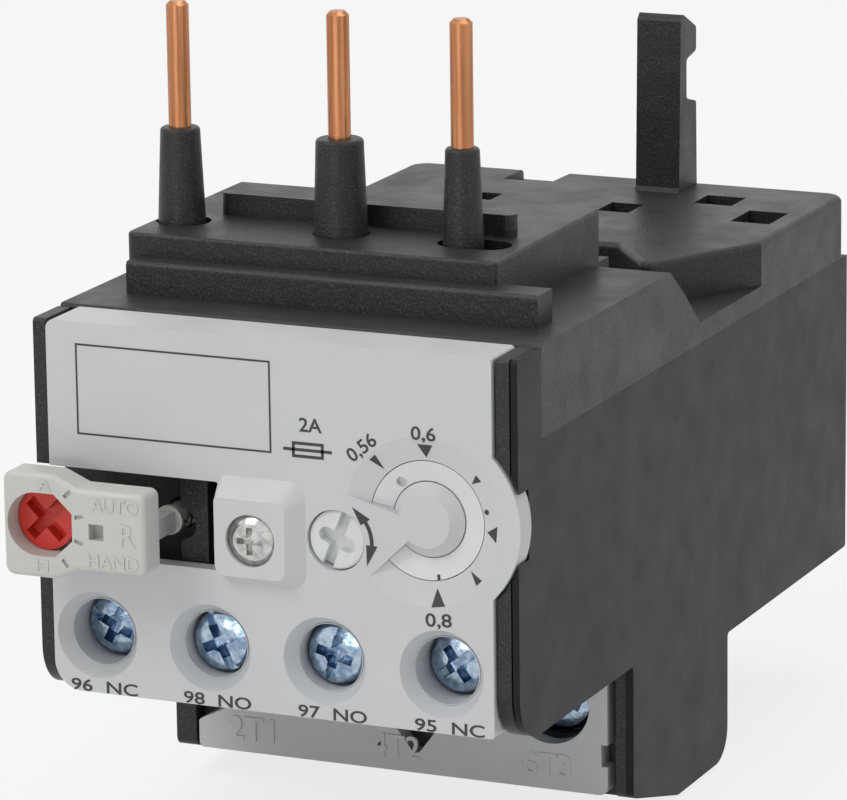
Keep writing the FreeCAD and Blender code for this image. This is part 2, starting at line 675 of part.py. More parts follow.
def screw_boss():
    """Raised pad round the cover screw, with sloping flanks."""
    base = outline([
        (BOSS_LEFT_X, BOSS_BOTTOM_Z, 1.2),
        (BOSS_RIGHT_X, BOSS_BOTTOM_Z, 1.6),
        (BOSS_RIGHT_X, BOSS_TOP_Z, 1.6),
        (BOSS_LEFT_X, BOSS_TOP_Z, 0.6),
    ], lambda p: V(p.x, at(0.1), p.y))
    top = outline([
        (BOSS_LEFT_X + 0.1, BOSS_BOTTOM_Z + BOSS_BOTTOM_FLANK, 0.9),
        (BOSS_RIGHT_X - BOSS_SIDE_FLANK, BOSS_BOTTOM_Z + BOSS_BOTTOM_FLANK, 0.9),
        (BOSS_RIGHT_X - BOSS_SIDE_FLANK, BOSS_TOP_Z - BOSS_TOP_FLANK, 0.9),
        (BOSS_LEFT_X + 0.1, BOSS_TOP_Z - BOSS_TOP_FLANK, 0.4),
    ], lambda p: V(p.x, at(-BOSS_HEIGHT), p.y))
    return Part.makeLoft([base, top], True)


def collar_cut(x):
    """Funnel through the cover at a control terminal."""
    funnel = cone_y(x, AUX_Z, AUX_COLLAR_RADIUS, AUX_BORE_RADIUS, 0, COVER_PLATE - 0.2)
    return funnel.fuse(rod_y(x, AUX_Z, AUX_BORE_RADIUS, 0, COVER_PLATE))


def cone_depth(radius):
    """Depth of the conical dish at this distance from the dial's axis."""
    slope = (DISH_HUB_DEPTH - DISH_RING_DEPTH) / (DIAL_RADIUS - HUB_RADIUS)
    return DISH_RING_DEPTH + slope * (DIAL_RADIUS - radius)


def ring_track():
    """Annular room in which the dial's ring turns round the hub."""
    outer = DIAL_RADIUS + DIAL_CLEARANCE
    return revolve_y([
        (HUB_RADIUS, cone_depth(HUB_RADIUS) - TONGUE_LIFT),
        (outer, cone_depth(outer) - TONGUE_LIFT),
        (outer, COVER_PLATE),
        (HUB_RADIUS, COVER_PLATE),
    ], DIAL_X, DIAL_Z)


def dish():
    """Shallow cone round the dial, down to the chamfered hub in its middle."""
    ring = DIAL_RADIUS + DIAL_CLEARANCE
    return revolve_y([
        (HUB_FLAT_RADIUS, -0.01),
        (HUB_RADIUS, HUB_RADIUS - HUB_FLAT_RADIUS),
        (HUB_RADIUS, cone_depth(HUB_RADIUS)),
        (ring, cone_depth(ring)),
        (DISH_RADIUS, -0.01),
    ], DIAL_X, DIAL_Z)


def tongue():
    """Wedge of the cover's face that reaches over the ring and carries the hub."""
    return prism_y([
        (DIAL_X - 8.0, DIAL_Z + 1.97),
        (DIAL_X - 2.0, DIAL_Z + 0.29),
        (DIAL_X - 1.2, DIAL_Z - 1.4),
        (DIAL_X - 6.2, DIAL_Z - 6.25),
        (DIAL_X - 8.0, DIAL_Z - 6.25),
    ], -1, COVER_PLATE)


def front_cover():
    cover = cover_plate()
    bulge = rod_y(DIAL_X, DIAL_Z, BULGE_RADIUS, 0, BULGE_DEPTH)
    cover = fuse([cover, bulge, screw_boss()])
    room = GEAR_FRONT_DEPTH + GEAR_THICKNESS + 0.3
    gear_room = DIAL_TEETH * MODULE / 2 + 1.3 * MODULE + 0.2
    cuts = [window()]
    cuts += [collar_cut(x) for x in AUX_XS]
    cuts.append(rod_y(DIAL_X, DIAL_Z, gear_room, COVER_PLATE, max(room, COVER_CAP_DEPTH)))
    cuts += [ring_track(), dish().cut(tongue())]
    cuts.append(rod_y(ADJUSTER_X, ADJUSTER_Z, ADJUSTER_TEETH * MODULE / 2 + 1.3 * MODULE, COVER_PLATE, COVER_CAP_DEPTH))
    cuts.append(rod_y(ADJUSTER_X, ADJUSTER_Z, ADJUSTER_RADIUS + DIAL_CLEARANCE, -1, COVER_PLATE))
    cuts.append(rod_y(COVER_SCREW_X, COVER_SCREW_Z, COVER_SCREW_SHANK_RADIUS + SCREW_FIT, -2, COVER_PLATE))
    cuts.append(rod_y(COVER_SCREW_X, COVER_SCREW_Z, COVER_SCREW_HEAD_RADIUS + SCREW_FIT,
                      -2, -BOSS_HEIGHT + 0.9))
    return cover.cut(cuts)


def cross_recess(x, z, reach, width, d0, d1):
    return fuse([
        box(x - reach, x + reach, d0, d1, z - width / 2, z + width / 2),
        box(x - width / 2, x + width / 2, d0, d1, z - reach, z + reach),
    ])


def cover_screw():
    seat = -BOSS_HEIGHT + 0.9
    head = revolve_y([
        (0, seat - 1.1),
        (COVER_SCREW_HEAD_RADIUS * 0.7, seat - 0.95),
        (COVER_SCREW_HEAD_RADIUS, seat - 0.5),
        (COVER_SCREW_HEAD_RADIUS, seat),
        (COVER_SCREW_SHANK_RADIUS, seat),
        (COVER_SCREW_SHANK_RADIUS, COVER_SCREW_LENGTH),
        (0, COVER_SCREW_LENGTH),
    ], COVER_SCREW_X, COVER_SCREW_Z)
    return head.cut(cross_recess(COVER_SCREW_X, COVER_SCREW_Z, 1.2, 0.55, seat - 1.2, seat - 0.3))


# ---- Setting dial and adjuster ------------------------------------------------------------------------------

def gear(x, z, teeth, d0, d1, phase):
    """Spur wheel with straight-flanked teeth; phase turns the first tooth from +X."""
    pitch_radius = teeth * MODULE / 2
    root = pitch_radius - 1.2 * MODULE
    tip = pitch_radius + MODULE * 0.95
    step = 2 * math.pi / teeth
    half_root = math.asin(0.36 * math.pi * MODULE / pitch_radius)
    half_tip = math.asin(0.13 * math.pi * MODULE / pitch_radius)
    points = []
    for i in range(teeth):
        middle = phase + i * step
        for radius, angle in ((root, -half_root), (tip, -half_tip), (tip, half_tip), (root, half_root)):
            a = middle + angle
            points.append((x + radius * math.cos(a), z + radius * math.sin(a)))
    return prism_y(points, d0, d1)


def mesh_direction():
    return math.atan2(ADJUSTER_Z - DIAL_Z, ADJUSTER_X - DIAL_X)


def dial_face():
    """White conical ring with an index notch in its rim and a dimple for a probe."""
    inner = HUB_RADIUS + HUB_CLEARANCE
    ring = revolve_y([
        (inner, cone_depth(inner)),
        (DIAL_RADIUS, cone_depth(DIAL_RADIUS)),
        (DIAL_RADIUS, GEAR_FRONT_DEPTH),
        (inner, GEAR_FRONT_DEPTH),
    ], DIAL_X, DIAL_Z)
    dimple_x = DIAL_X + DIMPLE_REACH * math.cos(math.radians(DIMPLE_ANGLE))
    dimple_z = DIAL_Z + DIMPLE_REACH * math.sin(math.radians(DIMPLE_ANGLE))
    dimple = rod_y(dimple_x, dimple_z, DIMPLE_RADIUS, 0, cone_depth(DIMPLE_REACH) + DIMPLE_DEPTH)
    notch = box(DIAL_X + DIAL_RADIUS - INDEX_LENGTH, DIAL_X + DIAL_RADIUS + 0.1, 0, GEAR_FRONT_DEPTH,
                DIAL_Z - INDEX_WIDTH / 2, DIAL_Z + INDEX_WIDTH / 2)
    notch.rotate(V(DIAL_X, 0, DIAL_Z), V(0, 1, 0), -INDEX_ANGLE)
    return ring.cut([dimple, notch])


def cam():
    """Spiral cam on the dial's back: its radius grows evenly over the dial's turn."""
    front = GEAR_FRONT_DEPTH + GEAR_THICKNESS
    steps = 24
    points = []
    for i in range(steps):
        turn = i / steps
        radius = CAM_RADIUS + CAM_RISE * turn
        angle = 2 * math.pi * turn
        points.append((DIAL_X + radius * math.cos(angle), DIAL_Z + radius * math.sin(angle)))
    return prism_y(points, front, front + CAM_THICKNESS)


def setting_dial():
    rear = GEAR_FRONT_DEPTH + GEAR_THICKNESS
    wheel = gear(DIAL_X, DIAL_Z, DIAL_TEETH, GEAR_FRONT_DEPTH, rear, mesh_direction())
    dial = fuse([dial_face(), wheel, cam()])
    return dial.cut(rod_y(DIAL_X, DIAL_Z, AXLE_RADIUS + PIVOT_CLEARANCE,
                          GEAR_FRONT_DEPTH, AXLE_DEPTH))


def adjuster_slot():
    """Slot across the whole head, crossed by a shorter and wider arm with round ends."""
    d0 = ADJUSTER_RECESS - 0.1
    d1 = ADJUSTER_RECESS + ADJUSTER_SLOT_DEPTH
    half_slot = ADJUSTER_SLOT_WIDTH / 2
    half_arm = ADJUSTER_ARM_WIDTH / 2
    reach = ADJUSTER_ARM_REACH - half_arm
    slot = box(ADJUSTER_X - ADJUSTER_RADIUS, ADJUSTER_X + ADJUSTER_RADIUS, d0, d1,
               ADJUSTER_Z - half_slot, ADJUSTER_Z + half_slot)
    arm = box(ADJUSTER_X - half_arm, ADJUSTER_X + half_arm, d0, d1, ADJUSTER_Z - reach, ADJUSTER_Z + reach)
    ends = [rod_y(ADJUSTER_X, ADJUSTER_Z + side * reach, half_arm, d0, d1) for side in (-1, 1)]
    tool = fuse([slot, arm] + ends)
    tool.rotate(V(ADJUSTER_X, 0, ADJUSTER_Z), V(0, 1, 0), -ADJUSTER_SLOT_ANGLE)
    return tool


def adjuster():
    rear = GEAR_FRONT_DEPTH + GEAR_THICKNESS
    half_step = math.pi / ADJUSTER_TEETH
    wheel = gear(ADJUSTER_X, ADJUSTER_Z, ADJUSTER_TEETH, GEAR_FRONT_DEPTH, rear,
                 mesh_direction() + math.pi + half_step)
    head = rod_y(ADJUSTER_X, ADJUSTER_Z, ADJUSTER_RADIUS, ADJUSTER_RECESS, GEAR_FRONT_DEPTH)
    shaft = rod_y(ADJUSTER_X, ADJUSTER_Z, AXLE_RADIUS, GEAR_FRONT_DEPTH, FRAME_DEPTH + 1.0)
    rim = [e for e in head.Edges if abs(e.BoundBox.YMax - at(ADJUSTER_RECESS)) < 1e-4]
    head = head.makeFillet(ADJUSTER_CHAMFER, rim)
    return fuse([head, wheel, shaft]).cut(adjuster_slot())


# ---- Reset button and mode selector -----------------------------------------------------------------------------

def button_plan():
    return [
        (BUTTON_LEFT_X, BUTTON_WIDE_BOTTOM_Z, 0.9),
        (BUTTON_WIDE_END_X, BUTTON_WIDE_BOTTOM_Z, 0.6),
        (BUTTON_NARROW_START_X, BUTTON_NARROW_BOTTOM_Z, 0.6),
        (BUTTON_RIGHT_X, BUTTON_NARROW_BOTTOM_Z, 0.7),
        (BUTTON_RIGHT_X, BUTTON_NARROW_TOP_Z, 0.7),
        (BUTTON_NARROW_START_X, BUTTON_NARROW_TOP_Z, 0.6),
        (BUTTON_WIDE_END_X, BUTTON_WIDE_TOP_Z, 0.6),
        (BUTTON_LEFT_X, BUTTON_WIDE_TOP_Z, 0.9),
    ]


def selector_well():
    """Round well for the knob with its angular extension to the right."""
    front = -BUTTON_PROUD
    radius = SELECTOR_RADIUS + SELECTOR_CLEARANCE
    well = rod_y(SELECTOR_X, SELECTOR_Z, radius, front, front + SELECTOR_SINK + SELECTOR_LENGTH)
    side = prism_y([
        (SELECTOR_X, SELECTOR_Z - radius),
        (SELECTOR_X + WELL_SHOULDER, SELECTOR_Z - radius),
        (SELECTOR_X + WELL_REACH, SELECTOR_Z - WELL_TIP_HALF),
        (SELECTOR_X + WELL_REACH, SELECTOR_Z + WELL_TIP_HALF),
        (SELECTOR_X + WELL_SHOULDER, SELECTOR_Z + radius),
        (SELECTOR_X, SELECTOR_Z + radius),
    ], front, front + SELECTOR_SINK + SELECTOR_LENGTH)
    return well.fuse(side)


def ticks():
    """Short grooves in the button's face that the knob's nose points to."""
    front = -BUTTON_PROUD
    grooves = []
    for angle in TICK_ANGLES:
        groove = box(SELECTOR_X + TICK_INNER, SELECTOR_X + TICK_OUTER, front - 0.1, front + TICK_DEPTH,
                     SELECTOR_Z - TICK_WIDTH / 2, SELECTOR_Z + TICK_WIDTH / 2)
        groove.rotate(V(SELECTOR_X, 0, SELECTOR_Z), V(0, 1, 0), -angle)
        grooves.append(groove)
    return grooves


def reset_button():
    front = -BUTTON_PROUD
    rear = front + BUTTON_THICKNESS
    plate = prism_y(button_plan(), front, rear)
    rim = [e for e in plate.Edges if abs(e.BoundBox.YMax - at(front)) < 1e-4]
    plate = plate.makeFillet(BUTTON_EDGE_RADIUS, rim)
    boss = rod_y(SELECTOR_X, SELECTOR_Z, BUTTON_BOSS_RADIUS, rear, rear + BUTTON_BOSS_REACH)
    stem = box(STEM_X - STEM_WIDTH / 2, STEM_X + STEM_WIDTH / 2, rear, STEM_END_DEPTH,
               STEM_Z - STEM_HEIGHT / 2, STEM_Z + STEM_HEIGHT / 2)
    collar = rod_y(STEM_X, STEM_Z, STEM_COLLAR_RADIUS, STEM_END_DEPTH - STEM_COLLAR_THICKNESS, STEM_END_DEPTH)
    rod = rod_y(STEM_X, STEM_Z, ROD_RADIUS, STEM_END_DEPTH, ROD_END_DEPTH)
    button = fuse([plate, boss, stem, collar, rod])
    half = KEY_HOLE_SIZE / 2
    hole = box(KEY_HOLE_X - half, KEY_HOLE_X + half, front, front + KEY_HOLE_DEPTH,
               KEY_HOLE_Z - half, KEY_HOLE_Z + half)
    return button.cut([selector_well(), hole] + ticks())


def mode_selector():
    front = -BUTTON_PROUD + SELECTOR_SINK
    knob = rod_y(SELECTOR_X, SELECTOR_Z, SELECTOR_RADIUS, front, front + SELECTOR_LENGTH - SELECTOR_CLEARANCE)
    half = SELECTOR_NOSE_WIDTH / 2
    nose = box(SELECTOR_X, SELECTOR_X + SELECTOR_NOSE_REACH, front, front + SELECTOR_LENGTH - SELECTOR_CLEARANCE,
               SELECTOR_Z - half, SELECTOR_Z + half)
    slot = cross_recess(SELECTOR_X, SELECTOR_Z, SELECTOR_SLOT_REACH, SELECTOR_SLOT_WIDTH,
                        front - 1, front + SELECTOR_SLOT_DEPTH)
    slot.rotate(V(SELECTOR_X, 0, SELECTOR_Z), V(0, 1, 0), 45)
    return fuse([knob, nose]).cut(slot)


def return_spring():
    """Coil of square wire between the stem's collar and the floor of the spring bore."""
    start = STEM_END_DEPTH + SPRING_WIRE
    length = SPRING_SEAT_DEPTH - start - SPRING_WIRE
    mean = SPRING_RADIUS - SPRING_WIRE
    helix = Part.makeHelix(length / SPRING_TURNS, length, mean)
    corners = [(-SPRING_WIRE, -SPRING_WIRE), (SPRING_WIRE, -SPRING_WIRE), (SPRING_WIRE, SPRING_WIRE),
               (-SPRING_WIRE, SPRING_WIRE), (-SPRING_WIRE, -SPRING_WIRE)]
    section = Part.makePolygon([V(mean + u, 0, v) for u, v in corners])
    coil = Part.Wire(helix).makePipeShell([section], True, False)
    coil.rotate(V(0, 0, 0), V(1, 0, 0), -90)
    coil.translate(V(STEM_X, at(start), STEM_Z))
    return coil


# ---- Control terminals -------------------------------------------------------------------------------------------

def control_terminal_block():
    """Block under the mechanism with a bore, a pocket and a wire entry for each screw."""
    inner = HALF - WALL
    front = COVER_PLATE + 0.15
    nose = box(-COVER_LEFT + COVER_FLANGE + 0.1, COVER_RIGHT - COVER_FLANGE - 0.1, front, FRAME_DEPTH,
               COVER_BOTTOM_Z + COVER_FLANGE + 0.1, AUX_BLOCK_TOP_Z)
    block = box(-inner, BASE_RIGHT - WALL, FRAME_DEPTH, FRONT_BODY_DEPTH, FRONT_BOTTOM_Z, AUX_BLOCK_TOP_Z)
    cuts = []
    for x in AUX_XS:
        cuts.append(rod_y(x, AUX_Z, AUX_BORE_RADIUS, front, FRAME_DEPTH))
        cuts.append(box(x - AUX_POCKET_HALF, x + AUX_POCKET_HALF, FRAME_DEPTH, AUX_POCKET_DEPTH,
                        FRONT_BOTTOM_Z + 1.2, AUX_POCKET_TOP_Z))
        cuts.append(rod_y(x, AUX_Z, AUX_SHANK_RADIUS + 0.3, AUX_POCKET_DEPTH, FRONT_BODY_DEPTH - 2))
        cuts.append(box(x - WIRE_ENTRY_HALF, x + WIRE_ENTRY_HALF, WIRE_ENTRY_DEPTH, AUX_PLATE_DEPTH,
                        FRONT_BOTTOM_Z, FRONT_BOTTOM_Z + 1.2))
        cuts.append(riser_slot(x))
    cuts.append(rod_y(DIAL_X, DIAL_Z, BULGE_RADIUS + 0.1, front, BULGE_DEPTH + 0.1))
    return fuse([nose, block]).cut(cuts)


def aux_screw(x, head_depth, angle):
    """Domed combination head on a plain shank."""
    neck = head_depth + AUX_HEAD_LENGTH
    screw = revolve_y([
        (0, head_depth),
        (AUX_HEAD_RADIUS * 0.6, head_depth + 0.1),
        (AUX_HEAD_RADIUS, head_depth + 0.6),
        (AUX_HEAD_RADIUS, neck),
        (AUX_SHANK_RADIUS, neck),
        (AUX_SHANK_RADIUS, head_depth + AUX_SCREW_LENGTH),
        (0, head_depth + AUX_SCREW_LENGTH),
    ], x, AUX_Z)
    cross = cross_recess(x, AUX_Z, 1.3, 0.6, head_depth - 0.1, head_depth + 1.3)
    slot = box(x - AUX_HEAD_RADIUS, x + AUX_HEAD_RADIUS, head_depth - 0.1, head_depth + 0.75,
               AUX_Z - 0.35, AUX_Z + 0.35)
    tool = fuse([cross, slot])
    tool.rotate(V(x, 0, AUX_Z), V(0, 1, 0), angle)
    return screw.cut(tool)


def aux_clamp(x, head_depth):
    """Saddle plate behind the head with a turned-down lip each side."""
    d0 = head_depth + AUX_CLAMP_BEHIND_HEAD
    d1 = d0 + AUX_CLAMP_THICKNESS
    half = AUX_CLAMP_WIDTH / 2
    bottom = AUX_Z - AUX_CLAMP_HEIGHT / 2 + 0.2
    plate = box(x - half, x + half, d0, d1, bottom, bottom + AUX_CLAMP_HEIGHT)
    collar = rod_y(x, AUX_Z, AUX_SHANK_RADIUS + 0.6, head_depth + AUX_HEAD_LENGTH + 0.03, d0)
    return fuse([plate, collar]).cut(rod_y(x, AUX_Z, AUX_SHANK_RADIUS + PIVOT_CLEARANCE, 0, d1))


def aux_plate(x, riser_top):
    """Fixed plate that the wire is clamped to, with a riser to its contact."""
    d0 = AUX_PLATE_DEPTH
    d1 = d0 + AUX_PLATE_THICKNESS
    half = AUX_CLAMP_WIDTH / 2 + 0.5
    plate = box(x - half, x + half, d0, d1, FRONT_BOTTOM_Z + 1.3, AUX_POCKET_TOP_Z - 0.1)
    riser = box(x - RISER_HALF, x + RISER_HALF, d0, d1, AUX_POCKET_TOP_Z - 0.1, riser_top)
    strap = fuse([plate, riser])
    return strap.cut(rod_y(x, AUX_Z, AUX_SHANK_RADIUS + SCREW_FIT, d0, d1))


# ---- Main terminals --------------------------------------------------------------------------------------------------

def terminal_cover():
    """Light plate over the main terminals, with a round hole for each screw."""
    top = FRONT_BOTTOM_Z - 0.1
    bottom = TERMINAL_BOTTOM_Z + TERMINAL_SLOPE_RISE - 0.05
    plate = prism_y([
        (-TERMINAL_COVER_LEFT, bottom, 0.5),
        (TERMINAL_COVER_RIGHT, bottom, 0.8),
        (TERMINAL_COVER_RIGHT, top),
        (-14.6, top),
        (-14.6, -21.0),
        (-TERMINAL_COVER_LEFT, -23.8, 0.3),
    ], FRONT_BODY_DEPTH, FRONT_BODY_DEPTH + TERMINAL_COVER_PLATE)
    wedge = prism_y([(-3.0, -19.0), (1.45, -24.9, 0.6), (5.9, -19.0)], FRONT_BODY_DEPTH,
                    FRONT_BODY_DEPTH + TERMINAL_COVER_PLATE)
    notch = box(TERMINAL_COVER_RIGHT - 0.6, TERMINAL_COVER_RIGHT, FRONT_BODY_DEPTH,
                FRONT_BODY_DEPTH + TERMINAL_COVER_PLATE, -23.75, -21.75)
    holes = [rod_y(x, MAIN_Z, MAIN_BORE_RADIUS, FRONT_BODY_DEPTH, FRONT_BODY_DEPTH + TERMINAL_COVER_PLATE)
             for x in PHASE_XS]
    return plate.cut([wedge, notch] + holes)


def main_terminal_block():
    """Lower block with a pocket for each main screw, open below for the wires."""
    block = prism_x(side_profile(), -HALF, BASE_RIGHT)
    block = block.common(box(-HALF, BASE_RIGHT, FRONT_BODY_DEPTH, TERMINAL_REAR_DEPTH,
                             TERMINAL_BOTTOM_Z, FRONT_BOTTOM_Z))
    rear = FRONT_BODY_DEPTH + TERMINAL_COVER_PLATE
    cuts = [box(-TERMINAL_WALL_LEFT, TERMINAL_WALL_RIGHT, FRONT_BODY_DEPTH, rear,
                TERMINAL_BOTTOM_Z, FRONT_BOTTOM_Z)]
    for x in PHASE_XS:
        half = MAIN_POCKET_HALF
        cuts.append(rod_y(x, MAIN_Z, MAIN_BORE_RADIUS, rear, rear + WALL))
        cuts.append(box(x - half, x + half, rear + WALL, MAIN_PLATE_DEPTH + MAIN_PLATE_THICKNESS,
                        TERMINAL_BOTTOM_Z + 4.6, FRONT_BOTTOM_Z))
        cuts.append(box(x - MAIN_ENTRY_HALF, x + MAIN_ENTRY_HALF, MAIN_ENTRY_FRONT_DEPTH, MAIN_PLATE_DEPTH,
                        TERMINAL_BOTTOM_Z, TERMINAL_BOTTOM_Z + 4.6))
        cuts.append(rod_y(x, MAIN_Z, MAIN_SHANK_RADIUS + 0.3, MAIN_PLATE_DEPTH, TERMINAL_REAR_DEPTH - 1))
    return block.cut(cuts)


def main_screw(x, angle):
    neck = MAIN_HEAD_DEPTH + MAIN_HEAD_LENGTH
    end = MAIN_HEAD_DEPTH + MAIN_SCREW_LENGTH
    screw = revolve_y([
        (0, MAIN_HEAD_DEPTH),
        (MAIN_HEAD_RADIUS * 0.6, MAIN_HEAD_DEPTH + 0.1),
        (MAIN_HEAD_RADIUS, MAIN_HEAD_DEPTH + 0.7),
        (MAIN_HEAD_RADIUS, neck),
        (MAIN_SHANK_RADIUS, neck),
        (MAIN_SHANK_RADIUS, end),
        (0, end),
    ], x, MAIN_Z)
    tool = cross_recess(x, MAIN_Z, 1.9, 0.9, MAIN_HEAD_DEPTH - 0.1, MAIN_HEAD_DEPTH + 1.5)
    tool.rotate(V(x, 0, MAIN_Z), V(0, 1, 0), angle)
    return screw.cut(tool)


def main_clamp(x):
    d0 = MAIN_HEAD_DEPTH + MAIN_HEAD_LENGTH + 0.05
    half = MAIN_CLAMP_WIDTH / 2
    plate = box(x - half, x + half, d0, d0 + MAIN_CLAMP_THICKNESS, MAIN_Z - MAIN_CLAMP_HEIGHT / 2,
                MAIN_Z + MAIN_CLAMP_HEIGHT / 2 - 0.2)
    return plate.cut(rod_y(x, MAIN_Z, MAIN_SHANK_RADIUS + PIVOT_CLEARANCE, d0, d0 + MAIN_CLAMP_THICKNESS))


# ---- Current path of each phase -------------------------------------------------------------------------------------------

def load_bar(x):
    """Bar from the bimetal's root along the chamber floor and down to the terminal plate."""
    half = POST_WIDTH / 2
    rear = STRIP_REAR_DEPTH + POST_BEHIND_STRIP
    front = MAIN_PLATE_DEPTH
    post = box(x - half, x - STRIP_THICKNESS / 2, STRIP_REAR_DEPTH - POST_BEHIND_STRIP, rear, CHAMBER_FLOOR_Z, STRIP_Z + STRIP_HEIGHT / 2)
    run = box(x - half, x + half, front, rear, CHAMBER_FLOOR_Z, CHAMBER_FLOOR_Z + MAIN_PLATE_THICKNESS)
    plate_half = MAIN_CLAMP_WIDTH / 2
    drop = box(x - half, x + half, front, front + MAIN_PLATE_THICKNESS, FRONT_BOTTOM_Z - 0.5, CHAMBER_FLOOR_Z)
    plate = box(x - plate_half, x + plate_half, front, front + MAIN_PLATE_THICKNESS,
                TERMINAL_BOTTOM_Z + 4.7, FRONT_BOTTOM_Z - 0.5)
    bar = fuse([post, run, drop, plate])
    return bar.cut(rod_y(x, MAIN_Z, MAIN_SHANK_RADIUS + SCREW_FIT, front, front + MAIN_PLATE_THICKNESS))


def bimetal_strip(x):
    """Flat strip from its root post to the slides, tapered towards the free end."""
    tip = STRIP_HEIGHT * 0.35
    root = STRIP_HEIGHT / 2
    return prism_x([
        (STRIP_FRONT_DEPTH, STRIP_Z - tip, 0.4),
        (STRIP_REAR_DEPTH, STRIP_Z - root),
        (STRIP_REAR_DEPTH, STRIP_Z + root),
        (STRIP_FRONT_DEPTH, STRIP_Z + tip, 0.4),
    ], x - STRIP_THICKNESS / 2, x + STRIP_THICKNESS / 2)


def heater_winding(x):
    """Rectangular turns round the strip, joined by a spine, with a lead at each end."""
    inner_x = STRIP_THICKNESS / 2 + HEATER_GAP
    inner_z = STRIP_HEIGHT / 2 + HEATER_GAP
    outer_x = inner_x + HEATER_WIRE
    outer_z = inner_z + HEATER_WIRE
    turns = []
    for i in range(HEATER_TURNS):
        d0 = HEATER_FRONT_DEPTH + i * HEATER_PITCH
        loop = box(x - outer_x, x + outer_x, d0, d0 + HEATER_WIRE, STRIP_Z - outer_z, STRIP_Z + outer_z)
        hole = box(x - inner_x, x + inner_x, d0, d0 + HEATER_WIRE, STRIP_Z - inner_z, STRIP_Z + inner_z)
        turns.append(loop.cut(hole))
    end = HEATER_FRONT_DEPTH + (HEATER_TURNS - 1) * HEATER_PITCH + HEATER_WIRE
    top = STRIP_Z + outer_z
    spine = box(x - HEATER_WIRE / 2, x + HEATER_WIRE / 2, LEG_DEPTH + COPPER, end, top, top + HEATER_WIRE)
    tail = box(x - outer_x, x - inner_x, end - HEATER_WIRE, STRIP_REAR_DEPTH - POST_BEHIND_STRIP, STRIP_Z - 0.5, STRIP_Z + 0.5)
    return fuse(turns + [spine, tail])


def leg_x(x):
    """Middle of a feed bar's leg, kept inside the carrier's walls."""
    return min(x, CARRIER_RIGHT_X - WALL - FEED_WIDTH / 2)


def feed_bar(x, pin_x, slot_left, slot_right):
    """Copper bar from under the plug pin to the front of the heater."""
    z0 = LEDGE_Z
    z1 = LEDGE_Z + COPPER
    half = FEED_WIDTH / 2
    leg = leg_x(x)
    pad_left = pin_x - slot_left - half
    pad_right = pin_x + slot_right + half
    pad = box(pad_left, pad_right, PIN_DEPTH - 2, PIN_DEPTH + 2, z0, z1)
    run = box(min(leg - half, pad_left), max(leg + half, pad_right), PIN_DEPTH + 2, PIN_DEPTH + 2 + FEED_WIDTH, z0, z1)
    back = box(leg - half, leg + half, PIN_DEPTH + 2, LEG_DEPTH + COPPER, z0, z1)
    heater_top = STRIP_Z + STRIP_HEIGHT / 2 + HEATER_GAP + HEATER_WIRE
    down = box(leg - half, leg + half, LEG_DEPTH, LEG_DEPTH + COPPER, heater_top, z0)
    toe = box(leg - half, x + HEATER_WIRE / 2, LEG_DEPTH, LEG_DEPTH + COPPER, heater_top, heater_top + 2 * HEATER_WIRE)
    return fuse([pad, run, back, down, toe])


# ---- Slides and levers ------------------------------------------------------------------------------------------------------

def slide_bar(z0, depth):
    half = SLIDE_LENGTH / 2
    return box(-half, half, depth, depth + SLIDE_WIDTH, z0, z0 + SLIDE_HEIGHT)


def trip_slide():
    """Bar above the strip ends with a finger on the hot side of each strip."""
    bottom = STRIP_Z + STRIP_HEIGHT / 2 + SLIDE_GAP
    bar = slide_bar(bottom, SLIDE_DEPTH)
    fingers = []
    for x in PHASE_XS:
        x0 = x + STRIP_THICKNESS / 2 + FINGER_GAP
        fingers.append(box(x0, x0 + FINGER, SLIDE_DEPTH, SLIDE_DEPTH + SLIDE_WIDTH,
                           STRIP_Z - STRIP_HEIGHT * 0.3, bottom))
    pivot = rod_y(LEVER_X, bottom + SLIDE_HEIGHT / 2, PIVOT_RADIUS, SLIDE_DEPTH - LEVER_THICKNESS - 0.1, SLIDE_DEPTH)
    return fuse([bar, pivot] + fingers)


def lag_slide():
    """Bar below the strip ends with a finger on the cold side of each strip."""
    top = STRIP_Z - STRIP_HEIGHT / 2 - SLIDE_GAP
    bar = slide_bar(top - SLIDE_HEIGHT, SLIDE_DEPTH)
    fingers = []
    for x in PHASE_XS:
        x1 = x - STRIP_THICKNESS / 2 - FINGER_GAP - LAG_TRAVEL
        fingers.append(box(x1 - FINGER, x1, SLIDE_DEPTH, SLIDE_DEPTH + SLIDE_WIDTH,
                           top, STRIP_Z + STRIP_HEIGHT * 0.3))
    pivot = rod_y(LEVER_X, top - SLIDE_HEIGHT / 2, PIVOT_RADIUS, SLIDE_DEPTH - LEVER_THICKNESS - 0.1, SLIDE_DEPTH)
    return fuse([bar, pivot] + fingers)


def lever_levels():
    """Z of the lever's pivot on the trip slide and of its pin on the lag slide."""
    upper = STRIP_Z + STRIP_HEIGHT / 2 + SLIDE_GAP + SLIDE_HEIGHT / 2
    lower = STRIP_Z - STRIP_HEIGHT / 2 - SLIDE_GAP - SLIDE_HEIGHT / 2
    return upper, lower


def differential_lever():
    """Lever in front of both slides: round eye above, open fork below."""
    upper, lower = lever_levels()
    half = LEVER_WIDTH / 2
    d1 = SLIDE_DEPTH - 0.05
    d0 = d1 - LEVER_THICKNESS + 0.45
    blade = box(LEVER_X - half, LEVER_X + half, d0, d1, lower - 1.2, upper + LEVER_REACH)
    eye = rod_y(LEVER_X, upper, half + 0.35, d0, d1)
    gap = PIVOT_RADIUS + PIVOT_CLEARANCE
    fork = box(LEVER_X - gap, LEVER_X + gap, d0, d1, lower - 2, lower + gap)
    return fuse([blade, eye]).cut([rod_y(LEVER_X, upper, gap, d0, d1), fork])


